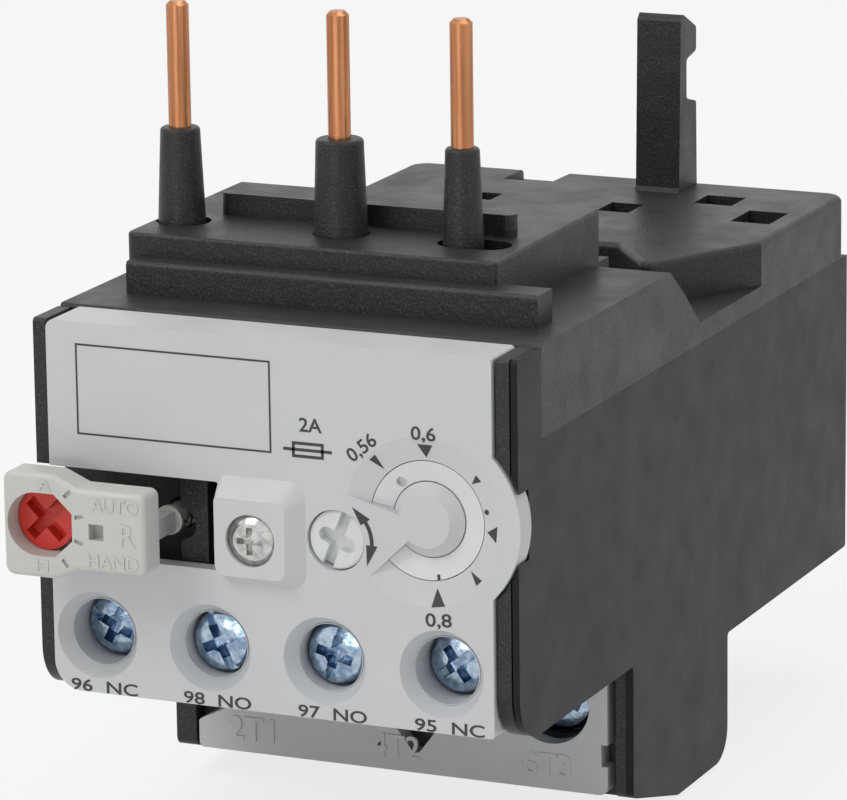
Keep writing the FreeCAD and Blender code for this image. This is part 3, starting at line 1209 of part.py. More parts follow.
def trip_lever():
    """Compensating lever: a hub with a tab at the differential lever and a long arm."""
    z0 = TRIP_LEVER_Z
    z1 = z0 + TRIP_LEVER_HEIGHT
    hub = rod_z(TRIP_PIVOT_X, TRIP_PIVOT_DEPTH, TRIP_HUB_RADIUS, z0, z1)
    tab_x = LEVER_X + LEVER_WIDTH / 2 + TRIP_TAB_GAP
    tab = box(tab_x, tab_x + TRIP_STRIP, SLIDE_DEPTH - LEVER_THICKNESS - 0.6, SLIDE_DEPTH + 0.2, z0, z1)
    rear = prism_z([
        (TRIP_PIVOT_X + TRIP_HUB_RADIUS - 0.3 - TRIP_STRIP, TRIP_PIVOT_DEPTH),
        (TRIP_PIVOT_X + TRIP_HUB_RADIUS - 0.3, TRIP_PIVOT_DEPTH),
        (tab_x + TRIP_STRIP, SLIDE_DEPTH - LEVER_THICKNESS),
        (tab_x, SLIDE_DEPTH - LEVER_THICKNESS),
    ], z0, z1)
    arm = prism_z([
        (TRIP_PIVOT_X, TRIP_PIVOT_DEPTH + 0.3),
        (TRIP_PIVOT_X, TRIP_PIVOT_DEPTH + 0.3 + TRIP_STRIP),
        (TRIP_END_X, TRIP_END_DEPTH + TRIP_STRIP / 2),
        (TRIP_END_X, TRIP_END_DEPTH - TRIP_STRIP / 2),
    ], z0, z1)
    bore = rod_z(TRIP_PIVOT_X, TRIP_PIVOT_DEPTH, TRIP_PIVOT_RADIUS + PIVOT_CLEARANCE, z0, z1)
    return fuse([hub, tab, rear, arm]).cut(bore)


def opening_bridge_depth():
    return AUX_PLATE_DEPTH - BRIDGE_THICKNESS


def closing_bridge_depth():
    return AUX_PLATE_DEPTH + AUX_PLATE_THICKNESS + CONTACT_TRAVEL + 0.05


def bridge(x0, x1, depth, z0):
    """Contact strip that spans two risers."""
    return box(x0 - BRIDGE_OVERHANG, x1 + BRIDGE_OVERHANG, depth, depth + BRIDGE_THICKNESS, z0, z0 + BRIDGE_HEIGHT)


def opening_bridge():
    return bridge(AUX_XS[0], AUX_XS[3], opening_bridge_depth(), OPENING_BRIDGE_Z)


def closing_bridge():
    return bridge(AUX_XS[1], AUX_XS[2], closing_bridge_depth(), CLOSING_BRIDGE_Z)


def contact_carrier():
    """Sliding block that holds both bridges, with the arm that the reset rod faces."""
    block = box(CARRIER_BLOCK_LEFT_X, CARRIER_BLOCK_RIGHT_X, CARRIER_BLOCK_FRONT_DEPTH, CARRIER_BLOCK_REAR_DEPTH,
                CARRIER_BLOCK_BOTTOM_Z, OPENING_BRIDGE_Z + BRIDGE_HEIGHT + 0.4)
    d0 = CARRIER_BLOCK_REAR_DEPTH - RESET_ARM_THICKNESS
    arm_z = TRIP_LEVER_Z - 0.4
    arm = box(STEM_X - 1.1, CARRIER_BLOCK_LEFT_X, d0, CARRIER_BLOCK_REAR_DEPTH, CARRIER_BLOCK_BOTTOM_Z, arm_z)
    lug = box(STEM_X - 1.1, STEM_X + 1.1, d0, CARRIER_BLOCK_REAR_DEPTH, STEM_Z - 1, arm_z)
    return fuse([block, arm, lug]).cut([opening_bridge(), closing_bridge()])


# ---- Carrier, boots and pins -------------------------------------------------------------------------------------------------

def racetrack(x0, x1, radius, z0, z1):
    """Slot along X with round ends about the pins' depth."""
    ends = [rod_z(x, PIN_DEPTH, radius, z0, z1) for x in (x0 + radius, x1 - radius)]
    if x1 - x0 < 2 * radius + 0.01:
        return ends[0]
    middle = box(x0 + radius, x1 - radius, PIN_DEPTH - radius, PIN_DEPTH + radius, z0, z1)
    return fuse([middle] + ends)


def boot_slot(i, z0, z1):
    radius = BOOT_BASE_RADII[i] + SLOT_CLEARANCE
    left = PIN_XS[i] - radius - SLOT_LEFT[i] + SLOT_CLEARANCE * (SLOT_LEFT[i] > 0)
    right = PIN_XS[i] + radius + SLOT_RIGHT[i]
    return racetrack(left, right, radius, z0, z1)


def pin_carrier():
    """Raised cap over the feed bars, with a front bar and a cross rib."""
    cap = prism_z([
        (CARRIER_LEFT_X, CARRIER_FRONT_DEPTH, 1.0),
        (CARRIER_RIGHT_X, CARRIER_FRONT_DEPTH, EDGE_RADIUS),
        (CARRIER_RIGHT_X, CARRIER_REAR_DEPTH, EDGE_RADIUS),
        (CARRIER_LEFT_X, CARRIER_REAR_DEPTH, EDGE_RADIUS),
    ], LEDGE_Z, PLATFORM_Z)
    top_edges = [e for e in cap.Edges if abs(e.BoundBox.ZMin - PLATFORM_Z) < 1e-4]
    cap = cap.makeFillet(EDGE_RADIUS * 0.8, top_edges)
    bar = prism_x([
        (BAR_FRONT_DEPTH, LEDGE_Z),
        (CARRIER_FRONT_DEPTH + 0.5, LEDGE_Z),
        (CARRIER_FRONT_DEPTH + 0.5, LEDGE_Z + BAR_HEIGHT),
        (BAR_FRONT_DEPTH, LEDGE_Z + BAR_HEIGHT, EDGE_RADIUS),
    ], BAR_LEFT_X, BAR_RIGHT_X)
    rib = prism_z([
        (RIB_LEFT_X, RIB_FRONT_DEPTH, 0.79),
        (RIB_RIGHT_X, RIB_FRONT_DEPTH, 0.79),
        (RIB_RIGHT_X, RIB_FRONT_DEPTH + RIB_THICKNESS, 0.79),
        (RIB_LEFT_X, RIB_FRONT_DEPTH + RIB_THICKNESS, 0.79),
    ], PLATFORM_Z - 0.5, PLATFORM_Z + RIB_HEIGHT)
    body = fuse([cap, bar, rib])
    cuts = [box(CARRIER_LEFT_X + 0.3, CARRIER_RIGHT_X - 1.0, CARRIER_FRONT_DEPTH + WALL, CARRIER_REAR_DEPTH - WALL,
                LEDGE_Z, PLATFORM_Z - ROOF)]
    cuts += [boot_slot(i, LEDGE_Z, PLATFORM_Z + 0.1) for i in range(3)]
    return body.cut(cuts)


def boot(i):
    """Tapered sleeve with a rounded rim round the core of the pin, and a flange below."""
    base = BOOT_BASE_RADII[i]
    top = BOOT_TOP_RADII[i]
    foot = LEDGE_Z + COPPER + FOOT_GAP + 1.0
    under = PLATFORM_Z - ROOF - 0.1
    crown = PLATFORM_Z + BOOT_HEIGHT
    sleeve = revolve_z([
        (PIN_CORE_RADIUS, foot),
        (base, foot),
        (base, PLATFORM_Z),
        (top, crown, BOOT_RIM_RADIUS),
        (PIN_CORE_RADIUS, crown),
    ], PIN_XS[i], PIN_DEPTH)
    flange = box(PIN_XS[i] - base, PIN_XS[i] + base, PIN_DEPTH - base - BOOT_FLANGE,
                 PIN_DEPTH + base + BOOT_FLANGE, foot, under)
    flange = flange.cut(rod_z(PIN_XS[i], PIN_DEPTH, PIN_CORE_RADIUS, foot, under))
    return fuse([sleeve, flange])


def plug_pin(i):
    """Copper pin: thinner core in the boot, full shaft above it, foot on the feed bar."""
    x = PIN_XS[i]
    z0 = LEDGE_Z + COPPER + FOOT_GAP
    top = LEDGE_Z + PIN_HEIGHT
    foot = box(x - FOOT_HALF, x + FOOT_HALF, PIN_DEPTH - FOOT_HALF, PIN_DEPTH + FOOT_HALF, z0, z0 + 1.0)
    crown = PLATFORM_Z + BOOT_HEIGHT
    core = rod_z(x, PIN_DEPTH, PIN_CORE_RADIUS, z0, crown)
    shaft = rod_z(x, PIN_DEPTH, PIN_RADIUS, crown, top - PIN_TIP_CHAMFER)
    tip = Part.makeCone(PIN_RADIUS, PIN_RADIUS - PIN_TIP_CHAMFER, PIN_TIP_CHAMFER,
                        V(x, at(PIN_DEPTH), top - PIN_TIP_CHAMFER))
    return fuse([foot, core, shaft, tip])


# ---- Assembly -------------------------------------------------------------------------------------------------------------------

def main():
    os.makedirs("parts", exist_ok=True)
    save("base_housing", base_housing())
    save("side_cover", side_cover())
    save("top_housing", top_housing())
    save("latch_hook", latch_hook())
    save("front_cover", front_cover())
    save("cover_screw", cover_screw())
    save("setting_dial", setting_dial())
    save("adjuster", adjuster())
    save("reset_button", reset_button())
    save("mode_selector", mode_selector())
    save("return_spring", return_spring())
    save("control_terminal_block", control_terminal_block())
    for i, x in enumerate(AUX_XS):
        number = str(i + 1)
        save("control_screw_" + number, aux_screw(x, AUX_HEAD_DEPTHS[i], 25 + 40 * i))
        save("control_clamp_" + number, aux_clamp(x, AUX_HEAD_DEPTHS[i]))
        top = CLOSING_BRIDGE_Z if i in (1, 2) else OPENING_BRIDGE_Z
        save("control_plate_" + number, aux_plate(x, top + BRIDGE_HEIGHT))
    save("terminal_cover", terminal_cover())
    save("main_terminal_block", main_terminal_block())
    for i, x in enumerate(PHASE_XS):
        number = str(i + 1)
        save("main_screw_" + number, main_screw(x, 15 + 50 * i))
        save("main_clamp_" + number, main_clamp(x))
        save("load_bar_" + number, load_bar(x))
        save("bimetal_strip_" + number, bimetal_strip(x))
        save("heater_winding_" + number, heater_winding(x))
        save("feed_bar_" + number, feed_bar(x, PIN_XS[i], SLOT_LEFT[i], SLOT_RIGHT[i]))
        save("boot_" + number, boot(i))
        save("plug_pin_" + number, plug_pin(i))
    save("pin_carrier", pin_carrier())
    save("trip_slide", trip_slide())
    save("lag_slide", lag_slide())
    save("differential_lever", differential_lever())
    save("trip_lever", trip_lever())
    save("contact_carrier", contact_carrier())
    save("opening_bridge", opening_bridge())
    save("closing_bridge", closing_bridge())


main()
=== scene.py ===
import json
import math

import bmesh
import bpy
from mathutils import Matrix, Vector


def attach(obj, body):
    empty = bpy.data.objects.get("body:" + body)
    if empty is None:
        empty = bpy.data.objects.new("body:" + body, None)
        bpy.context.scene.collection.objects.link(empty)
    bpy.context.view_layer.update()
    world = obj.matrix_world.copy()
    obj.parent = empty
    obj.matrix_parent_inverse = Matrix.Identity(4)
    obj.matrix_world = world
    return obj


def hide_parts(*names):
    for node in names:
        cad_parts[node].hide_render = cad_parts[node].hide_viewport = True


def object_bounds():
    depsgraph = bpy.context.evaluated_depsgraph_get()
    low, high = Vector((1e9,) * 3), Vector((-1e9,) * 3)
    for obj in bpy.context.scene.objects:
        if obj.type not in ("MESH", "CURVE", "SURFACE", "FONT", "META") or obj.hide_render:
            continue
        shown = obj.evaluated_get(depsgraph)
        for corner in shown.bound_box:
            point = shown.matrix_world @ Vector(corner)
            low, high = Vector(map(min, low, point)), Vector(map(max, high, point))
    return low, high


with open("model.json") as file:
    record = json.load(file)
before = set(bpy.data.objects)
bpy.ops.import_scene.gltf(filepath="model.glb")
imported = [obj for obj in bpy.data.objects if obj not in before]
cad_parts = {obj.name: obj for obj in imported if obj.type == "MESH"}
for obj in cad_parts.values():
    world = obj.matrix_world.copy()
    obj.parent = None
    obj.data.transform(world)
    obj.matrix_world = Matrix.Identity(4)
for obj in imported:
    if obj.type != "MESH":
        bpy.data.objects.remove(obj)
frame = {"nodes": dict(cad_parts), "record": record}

CAD_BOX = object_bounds()
NODES = frame["nodes"]
MM = 0.001

# The model's frame: the rear face is at y = 0, and depths are measured back from the front plate.
BODY_DEPTH = 81.6
PLATE_FRONT = -BODY_DEPTH


def at(depth):
    """Y in millimetres of a plane this far behind the front plate."""
    return PLATE_FRONT + depth


# ---- Camera, light and floor ---------------------------------------------------------------

CAMERA_PLACE = Vector((0.195837, -0.490817, 0.126310))
CAMERA_RIGHT = Vector((0.915170, 0.402874, -0.012513))
CAMERA_DOWN = Vector((0.085844, -0.225148, -0.970535))
CAMERA_AHEAD = Vector((-0.393820, 0.887131, -0.240633))
IMAGE_WIDTH = 847
FOCAL_PIXELS = 5550.12
SENSOR = 36.0


def add_camera():
    """Long lens from the front right and above."""
    bpy.ops.object.camera_add(location=(0, 0, 0))
    camera = bpy.context.object
    camera.name = "camera"
    turn = Matrix((CAMERA_RIGHT, -CAMERA_DOWN, -CAMERA_AHEAD)).transposed()
    camera.matrix_world = Matrix.Translation(CAMERA_PLACE) @ turn.to_4x4()
    camera.data.sensor_width = SENSOR
    camera.data.lens = FOCAL_PIXELS / IMAGE_WIDTH * SENSOR
    camera.data.clip_start = 0.01
    bpy.context.scene.camera = camera


def add_lamp(name, place, target, size, power, colour=(1, 1, 1)):
    bpy.ops.object.light_add(type="AREA", location=place)
    lamp = bpy.context.object
    lamp.name = name
    lamp.data.size = size
    lamp.data.energy = power
    lamp.data.color = colour
    aim = Vector(target) - Vector(place)
    lamp.rotation_euler = aim.to_track_quat("-Z", "Y").to_euler()


def camera_ray_mask(tree):
    """1 for rays that should see a pale background: straight, mirrored or through glass."""
    path = tree.nodes.new("ShaderNodeLightPath")
    first = tree.nodes.new("ShaderNodeMath")
    first.operation = "MAXIMUM"
    second = tree.nodes.new("ShaderNodeMath")
    second.operation = "MAXIMUM"
    tree.links.new(path.outputs["Is Camera Ray"], first.inputs[0])
    tree.links.new(path.outputs["Is Glossy Ray"], first.inputs[1])
    tree.links.new(first.outputs[0], second.inputs[0])
    tree.links.new(path.outputs["Is Transmission Ray"], second.inputs[1])
    return second.outputs[0]


def add_world():
    world = bpy.data.worlds.new("studio")
    bpy.context.scene.world = world
    world.use_nodes = True
    tree = world.node_tree
    tree.nodes.clear()
    soft = tree.nodes.new("ShaderNodeBackground")
    soft.inputs["Color"].default_value = (1.0, 1.0, 1.0, 1)
    soft.inputs["Strength"].default_value = 0.35
    white = tree.nodes.new("ShaderNodeBackground")
    white.inputs["Color"].default_value = (1.0, 1.0, 1.0, 1)
    white.inputs["Strength"].default_value = 1.0
    mix = tree.nodes.new("ShaderNodeMixShader")
    out = tree.nodes.new("ShaderNodeOutputWorld")
    tree.links.new(camera_ray_mask(tree), mix.inputs[0])
    tree.links.new(soft.outputs[0], mix.inputs[1])
    tree.links.new(white.outputs[0], mix.inputs[2])
    tree.links.new(mix.outputs[0], out.inputs["Surface"])


def add_floor():
    """Pale floor just under the part, which keeps a soft shadow."""
    low = CAD_BOX[0][2]
    bpy.ops.mesh.primitive_plane_add(size=6.0, location=(0, 0, low - 0.0005))
    floor = bpy.context.object
    floor.name = "floor"
    bpy.ops.object.transform_apply(location=True, rotation=True, scale=True)
    paint = bpy.data.materials.new("pale_floor")
    paint.use_nodes = True
    tree = paint.node_tree
    tree.nodes.clear()
    matt = tree.nodes.new("ShaderNodeBsdfDiffuse")
    matt.inputs["Color"].default_value = (0.86, 0.86, 0.86, 1)
    glow = tree.nodes.new("ShaderNodeEmission")
    glow.inputs["Strength"].default_value = 1.0
    share = tree.nodes.new("ShaderNodeMath")
    share.operation = "MULTIPLY"
    share.inputs[1].default_value = 0.8
    mix = tree.nodes.new("ShaderNodeMixShader")
    out = tree.nodes.new("ShaderNodeOutputMaterial")
    tree.links.new(camera_ray_mask(tree), share.inputs[0])
    tree.links.new(share.outputs[0], mix.inputs[0])
    tree.links.new(matt.outputs[0], mix.inputs[1])
    tree.links.new(glow.outputs[0], mix.inputs[2])
    tree.links.new(mix.outputs[0], out.inputs["Surface"])
    floor.data.materials.append(paint)


# ---- Shared surface effects -----------------------------------------------------------------

def new_group(name, inputs, outputs):
    """Empty shader group with named sockets: (name, kind, value) and (name, kind)."""
    tree = bpy.data.node_groups.new(name, "ShaderNodeTree")
    kinds = {"value": "NodeSocketFloat", "colour": "NodeSocketColor", "vector": "NodeSocketVector"}
    for label, kind, value in inputs:
        socket = tree.interface.new_socket(name=label, in_out="INPUT", socket_type=kinds[kind])
        socket.default_value = value
    for label, kind in outputs:
        tree.interface.new_socket(name=label, in_out="OUTPUT", socket_type=kinds[kind])
    return tree, tree.nodes.new("NodeGroupInput"), tree.nodes.new("NodeGroupOutput")


def noise(tree, scale_socket, detail, roughness=0.5):
    """Noise over the object's own coordinates."""
    place = tree.nodes.new("ShaderNodeTexCoord")
    field = tree.nodes.new("ShaderNodeTexNoise")
    field.inputs["Detail"].default_value = detail
    field.inputs["Roughness"].default_value = roughness
    tree.links.new(place.outputs["Object"], field.inputs["Vector"])
    if isinstance(scale_socket, (int, float)):
        field.inputs["Scale"].default_value = scale_socket
    else:
        tree.links.new(scale_socket, field.inputs["Scale"])
    return field.outputs["Fac"]


def spread(tree, value, low, high, out_low, out_high):
    """Maps a value from one span to another, held at its ends."""
    node = tree.nodes.new("ShaderNodeMapRange")
    tree.links.new(value, node.inputs["Value"])
    for label, number in (("From Min", low), ("From Max", high), ("To Min", out_low), ("To Max", out_high)):
        if isinstance(number, (int, float)):
            node.inputs[label].default_value = number
        else:
            tree.links.new(number, node.inputs[label])
    return node.outputs["Result"]


def calculate(tree, operation, first, second):
    node = tree.nodes.new("ShaderNodeMath")
    node.operation = operation
    for socket, value in zip(node.inputs, (first, second)):
        if isinstance(value, (int, float)):
            socket.default_value = value
        else:
            tree.links.new(value, socket)
    return node.outputs[0]


def blend_colour(tree, share, first, second, mode="MIX"):
    node = tree.nodes.new("ShaderNodeMix")
    node.data_type = "RGBA"
    node.blend_type = mode
    sockets = {"Factor": node.inputs[0], "A": node.inputs[6], "B": node.inputs[7]}
    for label, value in (("Factor", share), ("A", first), ("B", second)):
        if isinstance(value, tuple):
            sockets[label].default_value = value
        elif isinstance(value, (int, float)):
            sockets[label].default_value = value
        else:
            tree.links.new(value, sockets[label])
    return node.outputs[2]


def moulded_skin():
    """Fine spark-eroded grain of a moulded shell, with a slow drift of tone and gloss."""
    tree, inside, outside = new_group(
        "moulded_skin",
        [("Colour", "colour", (0.5, 0.5, 0.5, 1)), ("Grain scale", "value", 5000.0),
         ("Tone drift", "value", 0.05), ("Gloss low", "value", 0.35), ("Gloss high", "value", 0.5)],
        [("Colour", "colour"), ("Height", "value"), ("Roughness", "value")])
    fine = noise(tree, inside.outputs["Grain scale"], 2.0)
    slow = noise(tree, 90.0, 2.0)
    dark = blend_colour(tree, 1.0, inside.outputs["Colour"], (0.8, 0.8, 0.8, 1), "MULTIPLY")
    drift = spread(tree, slow, 0.35, 0.65, 0.0, 4.0)
    amount = calculate(tree, "MULTIPLY", drift, inside.outputs["Tone drift"])
    tinted = blend_colour(tree, amount, inside.outputs["Colour"], dark)
    tree.links.new(tinted, outside.inputs["Colour"])
    tree.links.new(fine, outside.inputs["Height"])
    wear = noise(tree, 260.0, 3.0)
    gloss = spread(tree, wear, 0.3, 0.7, inside.outputs["Gloss low"], inside.outputs["Gloss high"])
    tree.links.new(gloss, outside.inputs["Roughness"])
    return tree


def painted_sparkle_flecks():
    """Tiny pale flecks scattered in black plastic: painted sparkle highlights of the grain, fixed in the
    colour.
    """
    tree, inside, outside = new_group(
        "painted_sparkle_flecks",
        [("Colour", "colour", (0.02, 0.02, 0.02, 1)), ("Fleck colour", "colour", (0.2, 0.2, 0.2, 1)),
         ("Fleck scale", "value", 2600.0), ("Amount", "value", 0.5)],
        [("Colour", "colour"), ("Mask", "value")])
    field = noise(tree, inside.outputs["Fleck scale"], 1.0)
    mask = spread(tree, field, 0.6, 0.72, 0.0, 1.0)
    share = calculate(tree, "MULTIPLY", mask, inside.outputs["Amount"])
    mixed = blend_colour(tree, share, inside.outputs["Colour"], inside.outputs["Fleck colour"])
    tree.links.new(mixed, outside.inputs["Colour"])
    tree.links.new(mask, outside.inputs["Mask"])
    return tree


def metal_streaks():
    """Drawn or plated metal: fine lines along one axis and cloudy patches."""
    tree, inside, outside = new_group(
        "metal_streaks",
        [("Colour", "colour", (0.6, 0.6, 0.6, 1)), ("Tint", "colour", (0.5, 0.5, 0.5, 1)),
         ("Patch scale", "value", 500.0), ("Stretch", "vector", (1.0, 1.0, 1.0)),
         ("Gloss low", "value", 0.2), ("Gloss high", "value", 0.4)],
        [("Colour", "colour"), ("Height", "value"), ("Roughness", "value")])
    place = tree.nodes.new("ShaderNodeTexCoord")
    mapping = tree.nodes.new("ShaderNodeMapping")
    tree.links.new(place.outputs["Object"], mapping.inputs["Vector"])
    tree.links.new(inside.outputs["Stretch"], mapping.inputs["Scale"])
    lines = tree.nodes.new("ShaderNodeTexNoise")
    lines.inputs["Scale"].default_value = 3000.0
    lines.inputs["Detail"].default_value = 3.0
    tree.links.new(mapping.outputs["Vector"], lines.inputs["Vector"])
    cloud = tree.nodes.new("ShaderNodeTexNoise")
    cloud.inputs["Detail"].default_value = 3.0
    tree.links.new(inside.outputs["Patch scale"], cloud.inputs["Scale"])
    tree.links.new(mapping.outputs["Vector"], cloud.inputs["Vector"])
    patches = cloud.outputs["Fac"]
    share = spread(tree, patches, 0.35, 0.65, 0.0, 1.0)
    mixed = blend_colour(tree, share, inside.outputs["Colour"], inside.outputs["Tint"])
    tree.links.new(mixed, outside.inputs["Colour"])
    tree.links.new(lines.outputs["Fac"], outside.inputs["Height"])
    gloss = spread(tree, patches, 0.3, 0.7, inside.outputs["Gloss low"], inside.outputs["Gloss high"])
    tree.links.new(gloss, outside.inputs["Roughness"])
    return tree


SKIN = moulded_skin()
# Pale specks painted into the colour of the blacks as sparkle highlights.
PAINTED_SPARKLE = painted_sparkle_flecks()
STREAKS = metal_streaks()


def place_group(tree, group, **values):
    node = tree.nodes.new("ShaderNodeGroup")
    node.node_tree = group
    for label, value in values.items():
        node.inputs[label.replace("_", " ")].default_value = value
    return node


def fresh_material(name):
    """Material with a Principled shader and a Bump that feeds its Normal."""
    material = bpy.data.materials.new(name)
    material.use_nodes = True
    tree = material.node_tree
    shader = tree.nodes["Principled BSDF"]
    bump = tree.nodes.new("ShaderNodeBump")
    tree.links.new(bump.outputs["Normal"], shader.inputs["Normal"])
    return material, tree, shader, bump


def plastic(name, colour, gloss, grain_scale, grain_depth, drift=0.05, flecks=None, specular=0.5):
    """Moulded plastic; flecks is (colour, scale, amount) of pale specks painted in as sparkle highlights."""
    material, tree, shader, bump = fresh_material(name)
    skin = place_group(tree, SKIN, Colour=colour, Grain_scale=grain_scale, Tone_drift=drift,
                       Gloss_low=gloss[0], Gloss_high=gloss[1])
    paint = skin.outputs["Colour"]
    if flecks:
        spots = place_group(tree, PAINTED_SPARKLE, Fleck_colour=flecks[0], Fleck_scale=flecks[1], Amount=flecks[2])
        tree.links.new(paint, spots.inputs["Colour"])
        paint = spots.outputs["Colour"]
    tree.links.new(paint, shader.inputs["Base Color"])
    tree.links.new(skin.outputs["Roughness"], shader.inputs["Roughness"])
    shader.inputs["Specular IOR Level"].default_value = specular
    bump.inputs["Strength"].default_value = 1.0
    bump.inputs["Distance"].default_value = grain_depth
    tree.links.new(skin.outputs["Height"], bump.inputs["Height"])
    return material


def metal(name, colour, tint, gloss, patch_scale, stretch, depth):
    material, tree, shader, bump = fresh_material(name)
    streaks = place_group(tree, STREAKS, Colour=colour, Tint=tint, Patch_scale=patch_scale, Stretch=stretch,
                          Gloss_low=gloss[0], Gloss_high=gloss[1])
    tree.links.new(streaks.outputs["Colour"], shader.inputs["Base Color"])
    tree.links.new(streaks.outputs["Roughness"], shader.inputs["Roughness"])
    shader.inputs["Metallic"].default_value = 1.0
    bump.inputs["Distance"].default_value = depth
    tree.links.new(streaks.outputs["Height"], bump.inputs["Height"])
    return material


def ink(name, colour):
    """Printed ink: thin, slightly uneven and a little shiny."""
    return plastic(name, colour, (0.45, 0.6), 9000.0, 0.000004, 0.15)


MATERIALS = {
    "cover_grey": plastic("cover_grey", (0.62, 0.635, 0.65, 1), (0.4, 0.52), 5200.0, 0.000018, 0.04),
    "button_grey": plastic("button_grey", (0.60, 0.60, 0.57, 1), (0.38, 0.5), 4600.0, 0.00002, 0.05),
    "terminal_grey": plastic("terminal_grey", (0.62, 0.625, 0.61, 1), (0.4, 0.52), 4600.0, 0.00002, 0.05),
    "dial_white": plastic("dial_white", (0.74, 0.755, 0.765, 1), (0.3, 0.42), 5200.0, 0.000012, 0.04),
    "selector_red": plastic("selector_red", (0.62, 0.035, 0.02, 1), (0.3, 0.4), 5000.0, 0.00001, 0.08),
    # Both blacks carry pale flecks painted into the colour as sparkle highlights.
    "black_smooth": plastic("black_smooth", (0.012, 0.012, 0.013, 1), (0.34, 0.44), 4200.0, 0.000008, 0.1,
                            ((0.05, 0.05, 0.055, 1), 9000.0, 0.2), 0.14),
    "black_textured": plastic("black_textured", (0.021, 0.021, 0.023, 1), (0.36, 0.5), 3600.0, 0.00004, 0.15,
                              ((0.16, 0.16, 0.17, 1), 9000.0, 0.5), 0.3),
    "copper": metal("copper", (0.55, 0.25, 0.12, 1), (0.36, 0.145, 0.065, 1), (0.2, 0.34), 600.0,
                    (4.0, 4.0, 0.12), 0.000012),
    "zinc": metal("zinc", (0.46, 0.55, 0.66, 1), (0.17, 0.26, 0.38, 1), (0.12, 0.26), 1500.0,
                  (1, 1, 1), 0.00002),
    "chrome": metal("chrome", (0.62, 0.62, 0.6, 1), (0.4, 0.4, 0.39, 1), (0.1, 0.2), 1600.0,
                    (1, 1, 1), 0.00001),
    "heater_wire": metal("heater_wire", (0.42, 0.40, 0.38, 1), (0.30, 0.27, 0.25, 1), (0.35, 0.5), 700.0,
                         (1, 1, 1), 0.00001),
    "bimetal": metal("bimetal", (0.58, 0.56, 0.52, 1), (0.46, 0.44, 0.42, 1), (0.25, 0.4), 400.0,
                     (1, 0.1, 1), 0.00001),
    "spring_steel": metal("spring_steel", (0.75, 0.76, 0.78, 1), (0.6, 0.6, 0.62, 1), (0.2, 0.32), 900.0,
                          (1, 1, 1), 0.000005),
    "brass": metal("brass", (0.74, 0.56, 0.28, 1), (0.62, 0.45, 0.22, 1), (0.25, 0.4), 700.0,
                   (1, 1, 1), 0.00001),
    "inner_plastic": plastic("inner_plastic", (0.62, 0.58, 0.47, 1), (0.4, 0.55), 4600.0, 0.00002, 0.08),
    "print_black": ink("print_black", (0.035, 0.036, 0.042, 1)),
}
OWN_FINISH = {"terminal_cover": "terminal_grey", "cover_screw": "chrome"}


def dress_nodes():
    """Gives each node of the frame its finish."""
    slots = {part["node"]: part["material_slot"] for part in frame["record"]["subparts"]}
    for name, obj in NODES.items():
        finish = MATERIALS[OWN_FINISH.get(name, slots[name])]
        obj.data.materials.clear()
        obj.data.materials.append(finish)


# ---- Modelling helpers -----------------------------------------------------------------------

def only(*objects):
    """Selects just these objects; the first one is active."""
    bpy.ops.object.select_all(action="DESELECT")
    for obj in objects:
        obj.select_set(True)
    bpy.context.view_layer.objects.active = objects[0]
    return objects[0]


def primitive(kind, name, **options):
    """New primitive, the only thing selected."""
    bpy.ops.object.select_all(action="DESELECT")
    getattr(bpy.ops.mesh, "primitive_" + kind + "_add")(**options)
    obj = bpy.context.object
    obj.name = name
    obj.data.name = name
    return obj


def pick(obj, kind, test):
    """Enters edit mode with the faces or edges that pass the test selected."""
    only(obj)
    bpy.ops.object.mode_set(mode="EDIT")
    bpy.ops.mesh.select_mode(type=kind)
    bpy.ops.mesh.select_all(action="DESELECT")
    mesh = bmesh.from_edit_mesh(obj.data)
    parts = mesh.faces if kind == "FACE" else mesh.edges
    for part in parts:
        part.select_set(bool(test(part)))
    mesh.select_flush_mode()
    bmesh.update_edit_mesh(obj.data)


def leave():
    bpy.ops.object.mode_set(mode="OBJECT")


def apply_modifier(obj, kind, **options):
    only(obj)
    modifier = obj.modifiers.new(kind.lower(), kind)
    for label, value in options.items():
        setattr(modifier, label, value)
    bpy.ops.object.modifier_apply(modifier=modifier.name)


def cut_away(obj, *tools):
    """Takes the tools' shapes out of the object and deletes them."""
    for tool in tools:
        apply_modifier(obj, "BOOLEAN", operation="DIFFERENCE", object=tool, solver="EXACT")
        bpy.data.objects.remove(tool)


def weld(name, objects):
    """Joins objects into one piece."""
    only(*objects)
    bpy.ops.object.join()
    joined = bpy.context.object
    joined.name = name
    joined.data.name = name
    return joined


def smooth(obj, degrees=35):
    only(obj)
    bpy.ops.object.shade_smooth_by_angle(angle=math.radians(degrees))


def finish_piece(obj, body, material, degrees=35):
    """Finish, shading and the body that the piece moves with."""
    obj.data.materials.clear()
    obj.data.materials.append(MATERIALS[material])
    smooth(obj, degrees)
    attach(obj, body)
    return obj


# ---- Lettering and marks ----------------------------------------------------------------------

INK = 0.03
LETTER_WEIGHT = 0.012
LETTER_RISE = 0.1
TERMINAL_LETTER_RISE = 0.15
BUTTON_FRONT = -6.0
TERMINAL_FRONT = 26.0
DIAL_CENTRE = (14.14, 4.76)
DIAL_RADIUS = 5.15
DIAL_SLOPE = 0.263
DISH_RADIUS = 7.4
DISH_RIM_DEPTH = 0.6
INDEX_ANGLE = -79.0
# Angle, inner and outer distance from the dial's axis, half width.
SCALE_MARKS = (
    (132.7, 5.65, 7.05, 0.36),
    (89.9, 5.5, 6.7, 0.7),
    (41.0, 5.45, 6.4, 0.36),
    (-4.6, 5.5, 6.5, 0.72),
    (-45.0, 5.6, 6.85, 0.36),
    (-81.0, 5.8, 7.35, 0.64),
)
DOT_ANGLE = 13.3
DOT_REACH = 5.6
